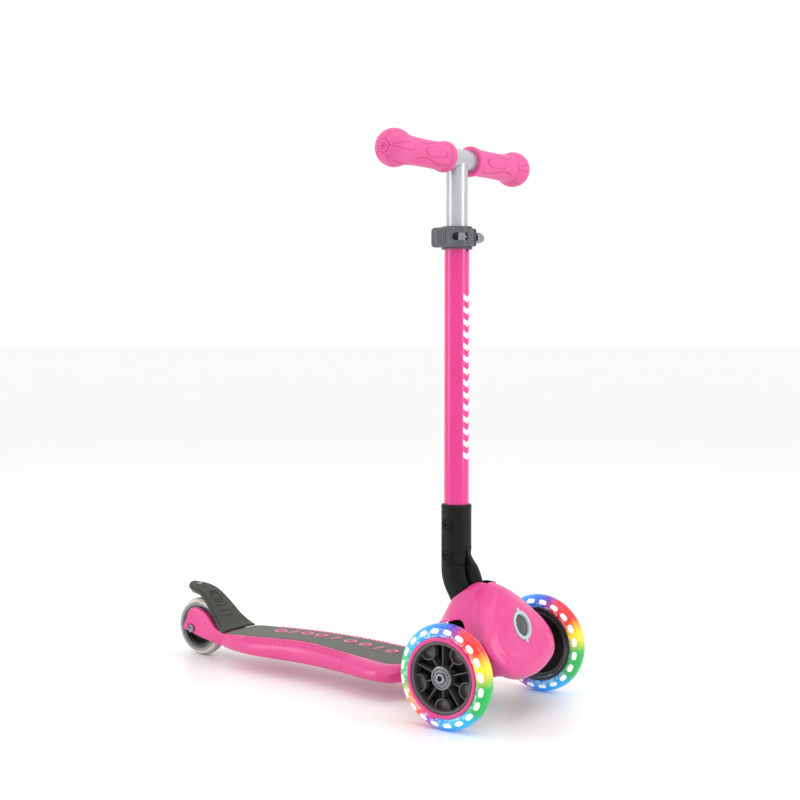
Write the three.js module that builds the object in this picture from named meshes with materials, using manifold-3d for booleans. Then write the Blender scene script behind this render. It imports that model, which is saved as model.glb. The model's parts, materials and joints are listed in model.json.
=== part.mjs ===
// Folding three-wheeled kick scooter. Millimetres, +Z up, +X forwards, +Y to the rider's left.
// The pieces are placed from the front axle; the outer group puts the origin under the middle.
import * as THREE from 'three';
import { mergeVertices } from 'three/addons/utils/BufferGeometryUtils.js';
import Module from 'manifold-3d';

const wasm = await Module();
wasm.setup();

// Driving dimensions
const wheelbase = 479;
const frontRadius = 60.5;
const rearRadius = 40;
const track = 212.7; // between the middles of the front wheels
const tyreHalfWidth = 12;
const stemX = -57; // stem axis, behind the front axle
const barHeight = 654.2;
const ballCentreY = 127.5;
const ballRadius = 21.8;
const gap = 0.3; // between pieces that touch
const rearX = -wheelbase;
const originX = (rearX - rearRadius + frontRadius) / 2; // middle of the wheels' length
const foldPivot = [-40, 0, 106];
const kingpinCentre = [-8, 0, 80];
const kingpinAngle = 55; // degrees above the floor, leaning forwards at its top
const buttonCentre = [36, 0, 105];
const buttonTilt = 20.7; // degrees above the floor
const brakePivot = [-425, 0, 41];
const clampZ = 560.5;
const clampBoltX = -36;
const leverPivotY = -22;

// Tube, bolt and bearing sizes
const stemTube = { outer: 14.9, inner: 13.3, low: 174, high: 571 };
const sliderTube = { outer: 12.9, inner: 11.2, low: 250 };
const crossTube = { outer: 12.7, inner: 11.2, half: 118 };
const bearing = { outer: 11, bore: 4.1, near: 3.5, far: 10.5 };
const axleRadius = 3.8;
const neckRadius = 18.2;
const neckTop = 241.5;
const neckBoltX = -57;
const triggerX = -43;
const triggerZ = 169.5;
const neckBoltHeights = { upper: 218, lower: 181 };

const colours = {
  pinkPlastic: [0xee3d96, 0.35, 0], pinkRubber: [0xf0449b, 0.6, 0], pinkPaint: [0xec2f8e, 0.25, 0.1],
  black: [0x17181a, 0.45, 0], darkGrey: [0x3b3d3f, 0.5, 0], matGrey: [0x6f7268, 0.85, 0],
  fenderGrey: [0x585b50, 0.7, 0], steel: [0xb9bcc0, 0.25, 0.9], aluminium: [0xdfe2e6, 0.3, 0.8],
  clearTyre: [0xbfe3ee, 0.15, 0], lightGrey: [0xc9cfd2, 0.4, 0], spring: [0x8d9094, 0.3, 0.9],
};

const scooter = new THREE.Group();
scooter.position.x = -originX;

const radians = (degrees) => (degrees * Math.PI) / 180;
const direction = (tilt) => [Math.cos(radians(tilt)), 0, Math.sin(radians(tilt))];
const along = (start, axis, distance) => start.map((value, k) => value + axis[k] * distance);
const mirrored = (points) => points.map(([x, y, z]) => [x, -y, z]);

// Solids
function solid(geometry) {
  geometry.deleteAttribute('normal');
  geometry.deleteAttribute('uv');
  const merged = mergeVertices(geometry, 1e-4);
  const vertProperties = new Float32Array(merged.attributes.position.array);
  const triVerts = new Uint32Array(merged.index.array);
  const made = new wasm.Manifold(new wasm.Mesh({ numProp: 3, vertProperties, triVerts }));
  if (made.volume() > 0) return made;
  for (let i = 0; i < triVerts.length; i += 3) triVerts.subarray(i, i + 2).reverse();
  return new wasm.Manifold(new wasm.Mesh({ numProp: 3, vertProperties, triVerts }));
}

function add(name, colour, shape, parent = scooter) {
  const { vertProperties, triVerts } = shape.getMesh();
  const geometry = new THREE.BufferGeometry();
  geometry.setAttribute('position', new THREE.BufferAttribute(vertProperties, 3));
  geometry.setIndex(new THREE.BufferAttribute(triVerts, 1));
  geometry.computeVertexNormals();
  const [color, roughness, metalness] = colours[colour];
  const mesh = new THREE.Mesh(geometry, new THREE.MeshStandardMaterial({ color, roughness, metalness }));
  mesh.name = name;
  parent.add(mesh);
}

const union = (...shapes) => shapes.reduce((whole, shape) => whole.add(shape));
const cut = (whole, ...shapes) => shapes.reduce((rest, shape) => rest.subtract(shape), whole);

function box(low, high) {
  const size = high.map((value, k) => value - low[k]);
  const middle = high.map((value, k) => (value + low[k]) / 2);
  return solid(new THREE.BoxGeometry(...size).translate(...middle));
}

// A profile of [radius, height] points turned about the line that leaves start along axis
function turned(profile, start, axis, segments = 20) {
  const points = profile.map(([radius, height]) => new THREE.Vector2(radius, height));
  const geometry = new THREE.LatheGeometry(points, segments);
  const up = new THREE.Vector3(0, 1, 0);
  geometry.applyQuaternion(new THREE.Quaternion().setFromUnitVectors(up, new THREE.Vector3(...axis)));
  return solid(geometry.translate(...start));
}

function rod(radius, start, axis, length, segments = 16) {
  return turned([[0, 0], [radius, 0], [radius, length], [0, length]], start, axis, segments);
}

function sleeve(outer, inner, start, axis, length, segments = 24) {
  const profile = [[inner, 0], [outer, 0], [outer, length], [inner, length], [inner, 0]];
  return turned(profile, start, axis, segments);
}

// An outline of [x, z] points carried across from lowY to highY
function plateXZ(points, lowY, highY) {
  const shape = new THREE.Shape(points.map(([x, z]) => new THREE.Vector2(x, z)));
  const geometry = new THREE.ExtrudeGeometry(shape, { depth: highY - lowY, bevelEnabled: false });
  return solid(geometry.rotateX(Math.PI / 2).translate(0, highY, 0));
}

// Convex rings of points, each with the same number, joined one to the next
function loft(rings) {
  const count = rings[0].length;
  const index = [];
  for (let k = 0; k < rings.length - 1; k += 1) {
    for (let i = 0; i < count; i += 1) {
      const a = k * count + i;
      const b = k * count + ((i + 1) % count);
      index.push(a, b, b + count, a, b + count, a + count);
    }
  }
  const last = (rings.length - 1) * count;
  for (let i = 1; i < count - 1; i += 1) index.push(0, i + 1, i, last, last + i, last + i + 1);
  const geometry = new THREE.BufferGeometry();
  geometry.setAttribute('position', new THREE.Float32BufferAttribute(rings.flat(2), 3));
  geometry.setIndex(index);
  return solid(geometry);
}

// Height and half width of something that changes along the scooter, from [x, ...values] rows
function stations(rows, steps) {
  const curve = new THREE.CatmullRomCurve3(rows.map(([x, a, b]) => new THREE.Vector3(x, a, b)));
  return curve.getPoints(steps).map(({ x, y, z }) => [x, y, z]);
}

const yAxis = [0, 1, 0];
const zAxis = [0, 0, 1];

function hexNut(outer, inner, start, length) {
  return cut(rod(outer, start, yAxis, length, 6), rod(inner, along(start, yAxis, -1), yAxis, length + 2, 16));
}

// Front wheels: a clear tyre on a spoked core, with a trim ring outside and a light ring inside
function frontTyre() {
  const seat = [[41.4, -8.7], [46.2, -8.7], [46.2, -11]];
  const tread = [[50, -tyreHalfWidth], [57, -9], [frontRadius, 0]];
  const half = [...seat, ...tread];
  const other = half.slice(0, -1).reverse().map(([radius, y]) => [radius, -y]);
  return turned([...half, ...other, half[0]], [0, 0, 0], yAxis, 32);
}

function bearingHub(outer) {
  const { far, near } = bearing;
  const bore = bearing.outer + gap;
  const ledge = near - gap;
  const profile = [[outer, -far], [outer, far], [bore, far], [bore, ledge], [9.8, ledge],
    [9.8, -ledge], [bore, -ledge], [bore, -far], [outer, -far]];
  return turned(profile, [0, 0, 0], yAxis);
}

function frontCore() {
  const rim = sleeve(41.1, 36.7, [0, -8.5, 0], yAxis, 19.5, 28);
  const spokes = [];
  for (let k = 0; k < 5; k += 1) {
    const turn = [0, 72 * k, 0];
    spokes.push(box([-1.3, 0, 12], [1.3, 7, 37.5]).rotate(turn));
    const bow = sleeve(11, 8.6, [0, 0, 34.5], yAxis, 7, 10);
    const stalk = box([-1.2, 0, 12], [1.2, 7, 25]);
    spokes.push(union(bow, stalk).rotate([0, 36 + 72 * k, 0]));
  }
  const outside = sleeve(60, 37.2, [0, -12, 0], yAxis, 24, 28);
  return union(rim, bearingHub(13), cut(union(...spokes), outside));
}

function frontWheel(side) {
  const name = side > 0 ? 'left' : 'right';
  const wheel = new THREE.Group();
  wheel.position.set(0, (side * track) / 2, frontRadius);
  if (side < 0) wheel.rotation.z = Math.PI;
  scooter.add(wheel);
  add(`${name}_tyre`, 'clearTyre', frontTyre(), wheel);
  add(`${name}_wheel_core`, 'darkGrey', frontCore(), wheel);
  add(`${name}_trim_ring`, 'pinkPlastic', sleeve(45.9, 41.4, [0, 9, 0], yAxis, 3.3, 28), wheel);
  add(`${name}_light_ring`, 'darkGrey', sleeve(45.9, 41.4, [0, -12.3, 0], yAxis, 3.3, 28), wheel);
  const width = bearing.far - bearing.near;
  const outer = sleeve(bearing.outer, bearing.bore, [0, bearing.near, 0], yAxis, width, 16);
  const inner = sleeve(bearing.outer, bearing.bore, [0, -bearing.far, 0], yAxis, width, 16);
  add(`${name}_bearing_outer`, 'steel', outer, wheel);
  add(`${name}_bearing_inner`, 'steel', inner, wheel);
  add(`${name}_wheel_spacer`, 'steel', sleeve(6, bearing.bore, [0, -3.1, 0], yAxis, 6.2, 14), wheel);
  const head = rod(6.9, [0, bearing.far + gap, 0], yAxis, 2.8);
  const shaft = rod(axleRadius, [0, -24, 0], yAxis, 36, 12);
  const socket = rod(3, [0, 12, 0], yAxis, 4, 6);
  add(`${name}_axle_bolt`, 'steel', cut(union(head, shaft), socket), wheel);
}

// Rear wheel, between the deck's two fork arms
function rearWheel() {
  const wheel = new THREE.Group();
  wheel.position.set(rearX, 0, rearRadius);
  scooter.add(wheel);
  const half = [[25.3, -10.5], [33, -11.8], [38, -7.5], [rearRadius, 0]];
  const other = half.slice(0, -1).reverse().map(([radius, y]) => [radius, -y]);
  add('rear_tyre', 'clearTyre', turned([...half, ...other, half[0]], [0, 0, 0], yAxis, 28), wheel);
  const rim = sleeve(25, 12.7, [0, -8, 0], yAxis, 16, 20);
  add('rear_wheel_core', 'black', union(rim, bearingHub(13)), wheel);
  const width = bearing.far - bearing.near;
  const left = sleeve(bearing.outer, bearing.bore, [0, bearing.near, 0], yAxis, width, 16);
  const right = sleeve(bearing.outer, bearing.bore, [0, -bearing.far, 0], yAxis, width, 16);
  add('rear_bearing_left', 'steel', left, wheel);
  add('rear_bearing_right', 'steel', right, wheel);
  add('rear_wheel_spacer', 'steel', sleeve(6, bearing.bore, [0, -3.1, 0], yAxis, 6.2, 14), wheel);
  const shaft = rod(axleRadius, [0, -25, 0], yAxis, 54, 12);
  const head = rod(6.5, [0, -27.3, 0], yAxis, 3);
  add('rear_axle_bolt', 'steel', cut(union(shaft, head), rod(2.8, [0, -27.5, 0], yAxis, 2.2, 6)), wheel);
  add('rear_axle_nut', 'steel', hexNut(6.5, axleRadius + gap, [0, 24.3, 0], 4), wheel);
}

// Deck: [x, half width, height of the grip mat's edge] from the back to the front
const deckRows = [[-414, 34, 43], [-390, 42, 44.5], [-350, 48.5, 46.5], [-270, 44, 50],
  [-205, 50.5, 47.5], [-140, 62, 43.5], [-118, 57, 42.5], [-106, 42, 42]];
const matRows = [[-409, 29.5, 43.2], [-395, 33.3, 44.3], [-347, 30.6, 46.7], [-275, 27.6, 50], [-209, 34.5, 47.7],
  [-160, 38, 44.6], [-128, 38, 42.6], [-116, 27, 42]];
const tongueRows = [[-118, 46, 41], [-100, 32, 48.7], [-62, 27, 48.7]]; // the deck's front end, under the cowl
const deckBottom = 23;

function deckMat(extra) {
  const section = ([x, half, top]) => {
    const side = half + extra;
    return [[x, side, top - 2.6], [x, side, top], [x, 0, top + 0.6], [x, -side, top], [x, -side, top - 2.6]];
  };
  const rows = stations(matRows, 10);
  rows[0][0] -= extra;
  rows[rows.length - 1][0] += extra;
  return loft(rows.map(section));
}

function deckBoard() {
  const section = ([x, half, top]) => {
    const crest = Math.min(half - 4, 39) + (top - 42) * -0.8;
    const right = [[x, crest, top + 0.4], [x, half - 1, top - 10], [x, half, 32],
      [x, half - 2, 26], [x, half - 9, deckBottom]];
    return [...right, ...mirrored(right).reverse()];
  };
  const body = loft(stations(deckRows, 14).map(section));
  const tongue = loft(tongueRows.map(([x, half, top]) => [[x, half, top - 4], [x, half - 4, top],
    [x, 4 - half, top], [x, -half, top - 4], [x, 6 - half, top - 13], [x, half - 6, top - 13]]));
  const armOutline = [[-496, 38.7], [-482.6, 66.3], [-476, 69.2], [-462.6, 67.3], [-444, 55.7],
    [-436.5, 47], [-425, 42], [-405, 40], [-405, 24], [-424, 23], [-448, 26], [-476, 31], [-488, 34]];
  const arms = [1, -1].map((side) => {
    const arm = plateXZ(armOutline, Math.min(side * 16.5, side * 24), Math.max(side * 16.5, side * 24));
    const boss = rod(6.5, [rearX, side * 10.9, rearRadius], [0, side, 0], 7);
    const root = box([-424, Math.min(0, side * 24), 24], [-400, Math.max(0, side * 24), 33]);
    const lug = plateXZ([[-430, 36], [-430, 46], [-420, 46], [-405, 41], [-405, 26], [-425, 26]],
      Math.min(side * 12.4, side * 24), Math.max(side * 12.4, side * 24));
    return union(arm, boss, root, lug);
  });
  const axleHole = rod(axleRadius + gap, [rearX, -30, rearRadius], yAxis, 60, 12);
  const pinHole = rod(2.5, [brakePivot[0], -30, brakePivot[2]], yAxis, 60, 12);
  const mat = deckMat(gap).translate([0, 0, -0.05]);
  const above = deckMat(gap).translate([0, 0, 2]);
  return cut(union(body, tongue, ...arms), axleHole, pinHole, mat, above);
}

// Fender brake: [x, half width, height of the top face] from the tip down to the hinge
const fenderRows = [[-499, 10, 99.5], [-484, 19.4, 96], [-466.6, 19.8, 90.4], [-448, 23, 75.7],
  [-431.5, 27, 59], [-419, 32.4, 48.5], [-411, 33.5, 45]];
const fenderThickness = 4;

function fender() {
  const rows = stations(fenderRows, 10);
  const rings = rows.map(([x, half, top], k) => {
    const before = rows[Math.max(k - 1, 0)];
    const after = rows[Math.min(k + 1, rows.length - 1)];
    const slope = Math.atan2(after[2] - before[2], after[0] - before[0]);
    const under = [x + Math.sin(slope) * fenderThickness, top - Math.cos(slope) * fenderThickness];
    return [[x, half - 3, top], [x, half, top - 1.5], [under[0], half - 2, under[1]],
      [under[0], 2 - half, under[1]], [x, -half, top - 1.5], [x, 3 - half, top]];
  });
  const [pivotX, , pivotZ] = brakePivot;
  const lugs = [7, -12].map((low) => {
    const outline = [[pivotX - 5, pivotZ], [pivotX - 5, pivotZ + 14], [pivotX + 8, pivotZ + 5.5],
      [pivotX + 5, pivotZ], [pivotX, pivotZ - 5]];
    return plateXZ(outline, low, low + 5);
  });
  const deckClear = box([-440, -60, 20], [-405, 60, 46.4]);
  const skin = cut(loft(rings), deckClear);
  return cut(union(skin, ...lugs), rod(2.5, [pivotX, -30, pivotZ], yAxis, 60, 12));
}

function brake() {
  add('fender', 'fenderGrey', fender());
  const pad = [[-492, 89.4], [-492, 86.6], [-468, 82.4], [-468, 85.2]];
  add('brake_pad', 'steel', plateXZ(pad, -9, 9));
  add('brake_pin', 'steel', rod(2.2, [brakePivot[0], -23.5, brakePivot[2]], yAxis, 47, 12));
  const coil = sleeve(5, 2.6, [brakePivot[0], -6.5, brakePivot[2]], yAxis, 13, 16);
  add('brake_spring', 'spring', coil);
}

// Cowl over the front end: a domed shield in front and two shoulders behind it
const shieldRim = [[-19, 0, 151], [-8, 32, 135], [16, 58.6, 109], [31, 71.4, 87], [44, 61.5, 68.6],
  [49, 42, 57], [52, 0, 49]];
const shieldNormal = [0.82, 0, 0.57];
const shieldCentre = [20, 0, 96];
const cowlFloor = 54;
const chassisFloor = 49;

function shield() {
  const half = new THREE.CatmullRomCurve3(shieldRim.map((point) => new THREE.Vector3(...point)));
  const left = half.getPoints(8).map(({ x, y, z }) => [x, y, z]);
  const rim = [...left, ...mirrored(left.slice(1, -1)).reverse()];
  const layer = ([scale, offset]) => {
    const shrink = ([x, y, z]) => shieldCentre.map((c, k) => c + ([x, y, z][k] - c) * scale);
    return rim.map((point) => along(shrink(point), shieldNormal, offset));
  };
  const layers = [[0.9, -30], [0.98, -8], [1, 0], [0.93, 5], [0.75, 10.5], [0.45, 14], [0.1, 15.5]];
  return loft(layers.map(layer));
}

function shoulder(side) {
  const ring = (y, points) => points.map(([x, z]) => [x, side * y, z]);
  return loft([
    ring(20.3, [[-13, 143], [-34, 140], [-51, 127], [-64, 98], [-76, 61], [-84, 50], [30, 50], [24, 110]]),
    ring(40, [[0, 121], [-20, 122], [-44, 116], [-59, 94], [-67, 66], [-72, 50], [34, 50], [28, 92]]),
    ring(56, [[14, 96], [-12, 106], [-34, 113], [-51, 99], [-57, 70], [-59, 50], [36, 50], [34, 80]]),
  ]);
}

// Each side of the notch, the cowl's top rises from the shoulder to the shield
function brow(side) {
  const ring = (y, points) => points.map(([x, z]) => [x, side * y, z]);
  return loft([
    ring(7.6, [[-6, 150.5], [-16, 151.5], [-23.4, 150.4], [-26.5, 147.5], [-27, 138], [-6, 134]]),
    ring(14.6, [[-9, 147], [-18, 148.4], [-27.9, 146.4], [-32, 143], [-32, 132], [-9, 128]]),
    ring(21, [[-12, 141], [-22, 142.4], [-34, 139.8], [-42, 133.8], [-40, 124], [-12, 120]]),
  ]);
}

function cowlSlot() {
  const plan = new THREE.Shape();
  plan.moveTo(-100, -20);
  const corner = [[-36, 20], [-31.5, 17.8], [-28, 14.6], [-26.3, 10.5], [-24, 7]];
  corner.forEach(([x, y]) => plan.lineTo(x, -y));
  corner.reverse().forEach(([x, y]) => plan.lineTo(x, y));
  plan.lineTo(-100, 20);
  const opening = new THREE.ExtrudeGeometry(plan, { depth: 60, bevelEnabled: false });
  return union(solid(opening.translate(0, 0, 123)), box([-100, -20, 0], [-24, 20, 131]));
}

function cowl() {
  const whole = union(shield(), shoulder(1), shoulder(-1), brow(1), brow(-1));
  const shrink = 0.94;
  const hollow = whole.scale([shrink, shrink, shrink]).translate([-1, 0, (1 - shrink) * 50]);
  const under = box([-120, -100, 0], [38, 100, cowlFloor]);
  const arch = [[-50, 30], [-50, 97], [-46, 102], [-41, 106], [-35, 108.6], [-29, 111], [-22, 113],
    [-15, 112], [-8, 105], [-3, 97], [2, 91], [6, 83], [12, 71], [19, 59], [24, 52], [26, 30]];
  const arches = [plateXZ(arch, 24, 90), plateXZ(arch, -90, -24)];
  const notch = box([-30, -7, 140], [-9, 7, 170]);
  const [axis, depth] = [direction(buttonTilt), 14];
  const buttonHole = rod(17.8, along(buttonCentre, axis, -depth), axis, 2 * depth, 24);
  return cut(whole, hollow, under, ...arches, cowlSlot(), notch, buttonHole);
}

// Chassis under the cowl: it carries the fold pin, the kingpin and the deck's front end
function noseChassis() {
  const floor = new THREE.Shape();
  floor.moveTo(-96, -24);
  floor.lineTo(-60, -24);
  floor.lineTo(-46, -36);
  floor.lineTo(14, -36);
  floor.quadraticCurveTo(35, -26, 36, 0);
  floor.quadraticCurveTo(35, 26, 14, 36);
  floor.lineTo(-46, 36);
  floor.lineTo(-60, 24);
  floor.lineTo(-96, 24);
  const thickness = cowlFloor - gap - chassisFloor;
  const sheet = { depth: thickness, bevelEnabled: false, curveSegments: 4 };
  const plate = solid(new THREE.ExtrudeGeometry(floor, sheet).translate(0, 0, chassisFloor));
  const cheekOutline = [[-58, 51], [-55, 106], [-50, 117], [-40, 121], [-30, 117], [-25, 106], [-28, 94],
    [-30, 51]];
  const cheeks = [15.5, -19.5].map((low) => plateXZ(cheekOutline, low, low + 4));
  const axis = direction(kingpinAngle);
  const lower = rod(9, along(kingpinCentre, axis, -24), axis, 9.7);
  const upper = rod(9, along(kingpinCentre, axis, 14.3), axis, 9.7);
  const foot = box([-28, -8, 51], [-13, 8, 60]);
  const column = union(box([12, -7, 51], [20, 7, 104]), box([5, -7, 97], [20, 7, 104]));
  const pinHole = rod(5.3, along(kingpinCentre, axis, -21.5), axis, 60, 12);
  const foldHole = rod(4.3, [foldPivot[0], -30, foldPivot[2]], yAxis, 60, 12);
  return cut(union(plate, ...cheeks, lower, upper, foot, column), pinHole, foldHole);
}

// Truck: swept arms that carry the front wheels and swing about the kingpin
function truckBeam() {
  const axis = direction(kingpinAngle);
  const hub = rod(12, along(kingpinCentre, axis, -13), axis, 26, 24);
  const section = new THREE.Shape().absellipse(0, 0, 7, 8.5, 0, 2 * Math.PI);
  const arms = [1, -1].map((side) => {
    const route = [[-9, 8, 79.5], [-18, 36, 72], [-15, 58, 65], [0, 82, frontRadius]];
    const path = new THREE.CatmullRomCurve3(route.map(([x, y, z]) => new THREE.Vector3(x, side * y, z)));
    const arm = new THREE.ExtrudeGeometry(section, { steps: 6, extrudePath: path, curveSegments: 3 });
    const inner = track / 2 - bearing.far;
    const end = rod(9, [0, side * 74, frontRadius], [0, side, 0], inner - 76.5);
    const nose = rod(6, [0, side * 88, frontRadius], [0, side, 0], inner - 88 - gap);
    const thread = rod(axleRadius + gap, [0, side * 80, frontRadius], [0, side, 0], 30, 16);
    return cut(union(solid(arm), end, nose), thread);
  });
  const bore = rod(5.3, along(kingpinCentre, axis, -30), axis, 60, 12);
  return cut(union(hub, ...arms), bore);
}

function steering() {
  const axis = direction(kingpinAngle);
  add('truck_beam', 'black', truckBeam());
  add('kingpin', 'steel', rod(5, along(kingpinCentre, axis, -21), axis, 43, 16));
  for (const side of [1, -1]) {
    const name = side > 0 ? 'left' : 'right';
    add(`steering_bumper_${name}`, 'black', rod(6, [-15, side * 28, cowlFloor], zAxis, 7));
  }
}

// Steering lock: a ring set in the cowl round a push button
function steeringLock() {
  const axis = direction(buttonTilt);
  const ring = sleeve(17.5, 12.6, along(buttonCentre, axis, -3), axis, 4, 24);
  add('lock_ring', 'lightGrey', ring);
  const dome = [[0, -10.5], [3.5, -10.5], [3.5, -5.5], [12.2, -5.5], [12.2, -1.6], [9, -0.4], [5, 0.4], [0, 0.7]];
  add('lock_button', 'darkGrey', turned(dome, buttonCentre, axis, 20));
}

// Stem: a neck that folds on the fold pin, and the outer tube bolted into it
// The neck's bend: [x, z, half width, half depth, lean] from the tube's foot to the knuckle
const neckPath = [[stemX, 190, neckRadius, neckRadius, 0], [stemX, 168, neckRadius, neckRadius, 0],
  [-55.4, 154, 17.8, 18.4, 12], [-49.5, 138, 16.5, 17.5, 26], [-43, 122, 14.8, 15, 30],
  [-40, 108, 14, 12, 20]];

function neck() {
  const socket = rod(neckRadius, [stemX, 0, 160], zAxis, neckTop - 160, 24);
  const bend = neckPath.map(([x, z, across, deep, lean]) => {
    const ring = [];
    for (let k = 0; k < 16; k += 1) {
      const angle = (2 * Math.PI * k) / 16;
      const [forward, aside] = [deep * Math.cos(angle), across * Math.sin(angle)];
      ring.push([x + forward * Math.cos(radians(lean)), aside, z + forward * Math.sin(radians(lean))]);
    }
    return ring;
  });
  const stalk = loft(bend);
  const [x, , z] = foldPivot;
  const knuckle = rod(15, [x, -15.1, z], yAxis, 30.2, 20);
  const pad = box([neckBoltX - 10, -18.8, 170], [neckBoltX + 9.5, -12, 229]);
  const bore = rod(stemTube.outer + gap, [stemX, 0, stemTube.low - gap], zAxis, 100, 24);
  const pinHole = rod(4.2, [x, -30, z], yAxis, 60, 12);
  const triggerSlot = plateXZ([[-41.1, 189], [-41.1, 176], [-47, 174], [-47, 156], [-43, 150], [-36, 143.5],
    [-30, 140], [0, 140], [0, 189]], -4.3, 4.3);
  const triggerHole = rod(1.4, [triggerX, -30, triggerZ], yAxis, 60, 10);
  const boltHoles = Object.values(neckBoltHeights).map((height) => (
    rod(3.1, [neckBoltX, -30, height], yAxis, 60, 12)));
  return cut(union(socket, stalk, knuckle, pad), bore, pinHole, triggerSlot, triggerHole, ...boltHoles);
}

function foldTrigger() {
  const outline = [[-38.6, 186], [-38, 182], [-35, 175.5], [-30, 169], [-26, 162], [-23, 156.5],
    [-21.5, 151.7], [-23, 148.7], [-27.5, 148.5], [-34.5, 151.2], [-39.4, 158], [-43, 163],
    [-45.3, 166], [-45.3, 172.5], [-41, 174.5], [-40.7, 185]];
  return cut(plateXZ(outline, -3.8, 3.8), rod(1.5, [triggerX, -30, triggerZ], yAxis, 60, 10));
}

function stem() {
  add('neck', 'black', neck());
  add('fold_trigger', 'black', foldTrigger());
  add('trigger_pin', 'steel', rod(1.1, [triggerX, -11, triggerZ], yAxis, 22, 10));
  add('fold_pin', 'steel', rod(3.9, [foldPivot[0], -19.4, foldPivot[2]], yAxis, 38.8, 16));
  const { outer, inner, low, high } = stemTube;
  const tube = sleeve(outer, inner, [stemX, 0, low], zAxis, high - low);
  const slit = box([stemX + 5, -1.1, clampZ - 13], [stemX + 20, 1.1, high + 5]);
  const boltHoles = Object.values(neckBoltHeights).map((height) => (
    rod(3.1, [neckBoltX, -30, height], yAxis, 60, 12)));
  add('stem_tube', 'pinkPaint', cut(tube, slit, ...boltHoles));
  for (const [place, height] of Object.entries(neckBoltHeights)) {
    const shaft = rod(2.8, [neckBoltX, -20, height], yAxis, 44, 12);
    const head = rod(5.8, [neckBoltX, -20.7, height], yAxis, 1.6, 16);
    const socket = rod(2.6, [neckBoltX, -21, height], yAxis, 1.2, 6);
    add(`neck_bolt_${place}`, 'black', cut(union(shaft, head), socket));
    add(`neck_nut_${place}`, 'steel', hexNut(5.2, 3.1, [neckBoltX, 18.5, height], 4));
  }
}

// Quick-release clamp that holds the bar's height
function clampCollar() {
  const [low, high] = [clampZ - 13.5, clampZ + 13.5];
  const ring = sleeve(18.6, stemTube.outer + gap, [stemX, 0, low], zAxis, high - low, 24);
  const ears = box([clampBoltX - 7, -14.4, low + 3], [clampBoltX + 6.5, 7.5, high - 3]);
  const nutRecess = rod(7, [clampBoltX, 7.5, clampZ], yAxis, 20);
  const round = rod(stemTube.outer + gap, [stemX, 0, low - 1], zAxis, 30, 24);
  const slit = box([stemX + 5, -1.2, low - 1], [clampBoltX + 10, 1.2, high + 1]);
  const hole = rod(3.4, [clampBoltX, -20, clampZ], yAxis, 40, 12);
  return cut(union(ring, cut(ears, round)), slit, hole, nutRecess);
}

function clampLever() {
  const head = rod(7, [clampBoltX, leverPivotY, clampZ - 12.5], zAxis, 25);
  const body = loft([
    [[-36, -28.5, -12.5], [-36, -19.5, -12.5], [-36, -19.5, 12.5], [-36, -28.5, 12.5]],
    [[-60, -27, -12.5], [-60, -19.4, -12.5], [-60, -19.4, 12.5], [-60, -27, 12.5]],
    [[-82, -25.5, -9], [-82, -20.5, -9], [-82, -20.5, 9], [-82, -25.5, 9]],
  ].map((ring) => ring.map(([x, y, z]) => [x, y, z + clampZ])));
  const slot = box([-50, -40, clampZ - 4.7], [-20, 0, clampZ + 4.7]);
  const pinHole = rod(2.5, [clampBoltX, leverPivotY, clampZ - 20], zAxis, 40, 12);
  return cut(union(head, body), slot, pinHole);
}

function clamp() {
  add('clamp_collar', 'darkGrey', clampCollar());
  add('clamp_lever', 'darkGrey', clampLever());
  const barrel = rod(4.4, [clampBoltX, leverPivotY, clampZ - 4.3], zAxis, 8.6, 16);
  const pin = rod(2.2, [clampBoltX, leverPivotY, clampZ - 12], zAxis, 24, 12);
  const shaft = rod(3, [clampBoltX, leverPivotY, clampZ], yAxis, 39.3, 12);
  add('clamp_bolt', 'steel', union(barrel, pin, shaft));
  const nut = [[0, 10], [3.4, 10], [3.4, 0], [6.6, 0], [6.6, 8.6], [5.4, 9.6], [5.4, 12.6], [3.4, 14.7],
    [0, 15.2]];
  const shell = turned(nut, [clampBoltX, 7.8, clampZ], yAxis, 16);
  add('clamp_nut', 'steel', shell);
}

// Handlebar: the sliding tube, the cross tube welded on its top, and the ball-ended grips
function grip(side) {
  const bore = crossTube.outer + gap;
  const sleeveProfile = [[bore, 25], [18.2, 25], [18.4, 30], [16.6, 34], [15.9, 62], [16.4, 96], [17.2, 108]];
  const ball = [];
  for (let angle = -52; angle < 85; angle += 27) {
    const [c, s] = [Math.cos(radians(angle)), Math.sin(radians(angle))];
    ball.push([ballRadius * c, ballCentreY + ballRadius * s]);
  }
  const profile = [[0, 120.5], [bore, 120.5], ...sleeveProfile, ...ball, [0, ballCentreY + ballRadius]];
  return turned(profile, [stemX, 0, barHeight], [0, side, 0], 20);
}

function handlebar() {
  const { outer, inner, low } = sliderTube;
  const riser = sleeve(outer, inner, [stemX, 0, low], zAxis, barHeight - low, 24);
  const saddle = rod(crossTube.outer + gap, [stemX, -30, barHeight], yAxis, 60, 24);
  add('slider_tube', 'aluminium', cut(riser, saddle));
  const start = [stemX, -crossTube.half, barHeight];
  add('cross_tube', 'aluminium', sleeve(crossTube.outer, crossTube.inner, start, yAxis, 2 * crossTube.half, 24));
  add('slider_plug', 'black', rod(inner - gap, [stemX, 0, low - 3], zAxis, 12, 20));
  add('left_grip', 'pinkRubber', grip(1));
  add('right_grip', 'pinkRubber', grip(-1));
}

add('deck_board', 'pinkPlastic', deckBoard());
add('deck_mat', 'matGrey', deckMat(0));
add('cowl', 'pinkPlastic', cowl());
add('nose_chassis', 'black', noseChassis());
steering();
steeringLock();
frontWheel(1);
frontWheel(-1);
rearWheel();
brake();
stem();
clamp();
handlebar();

export default scooter;
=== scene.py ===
import bpy
import bmesh
import json
import math
from mathutils import Matrix, Vector

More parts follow.
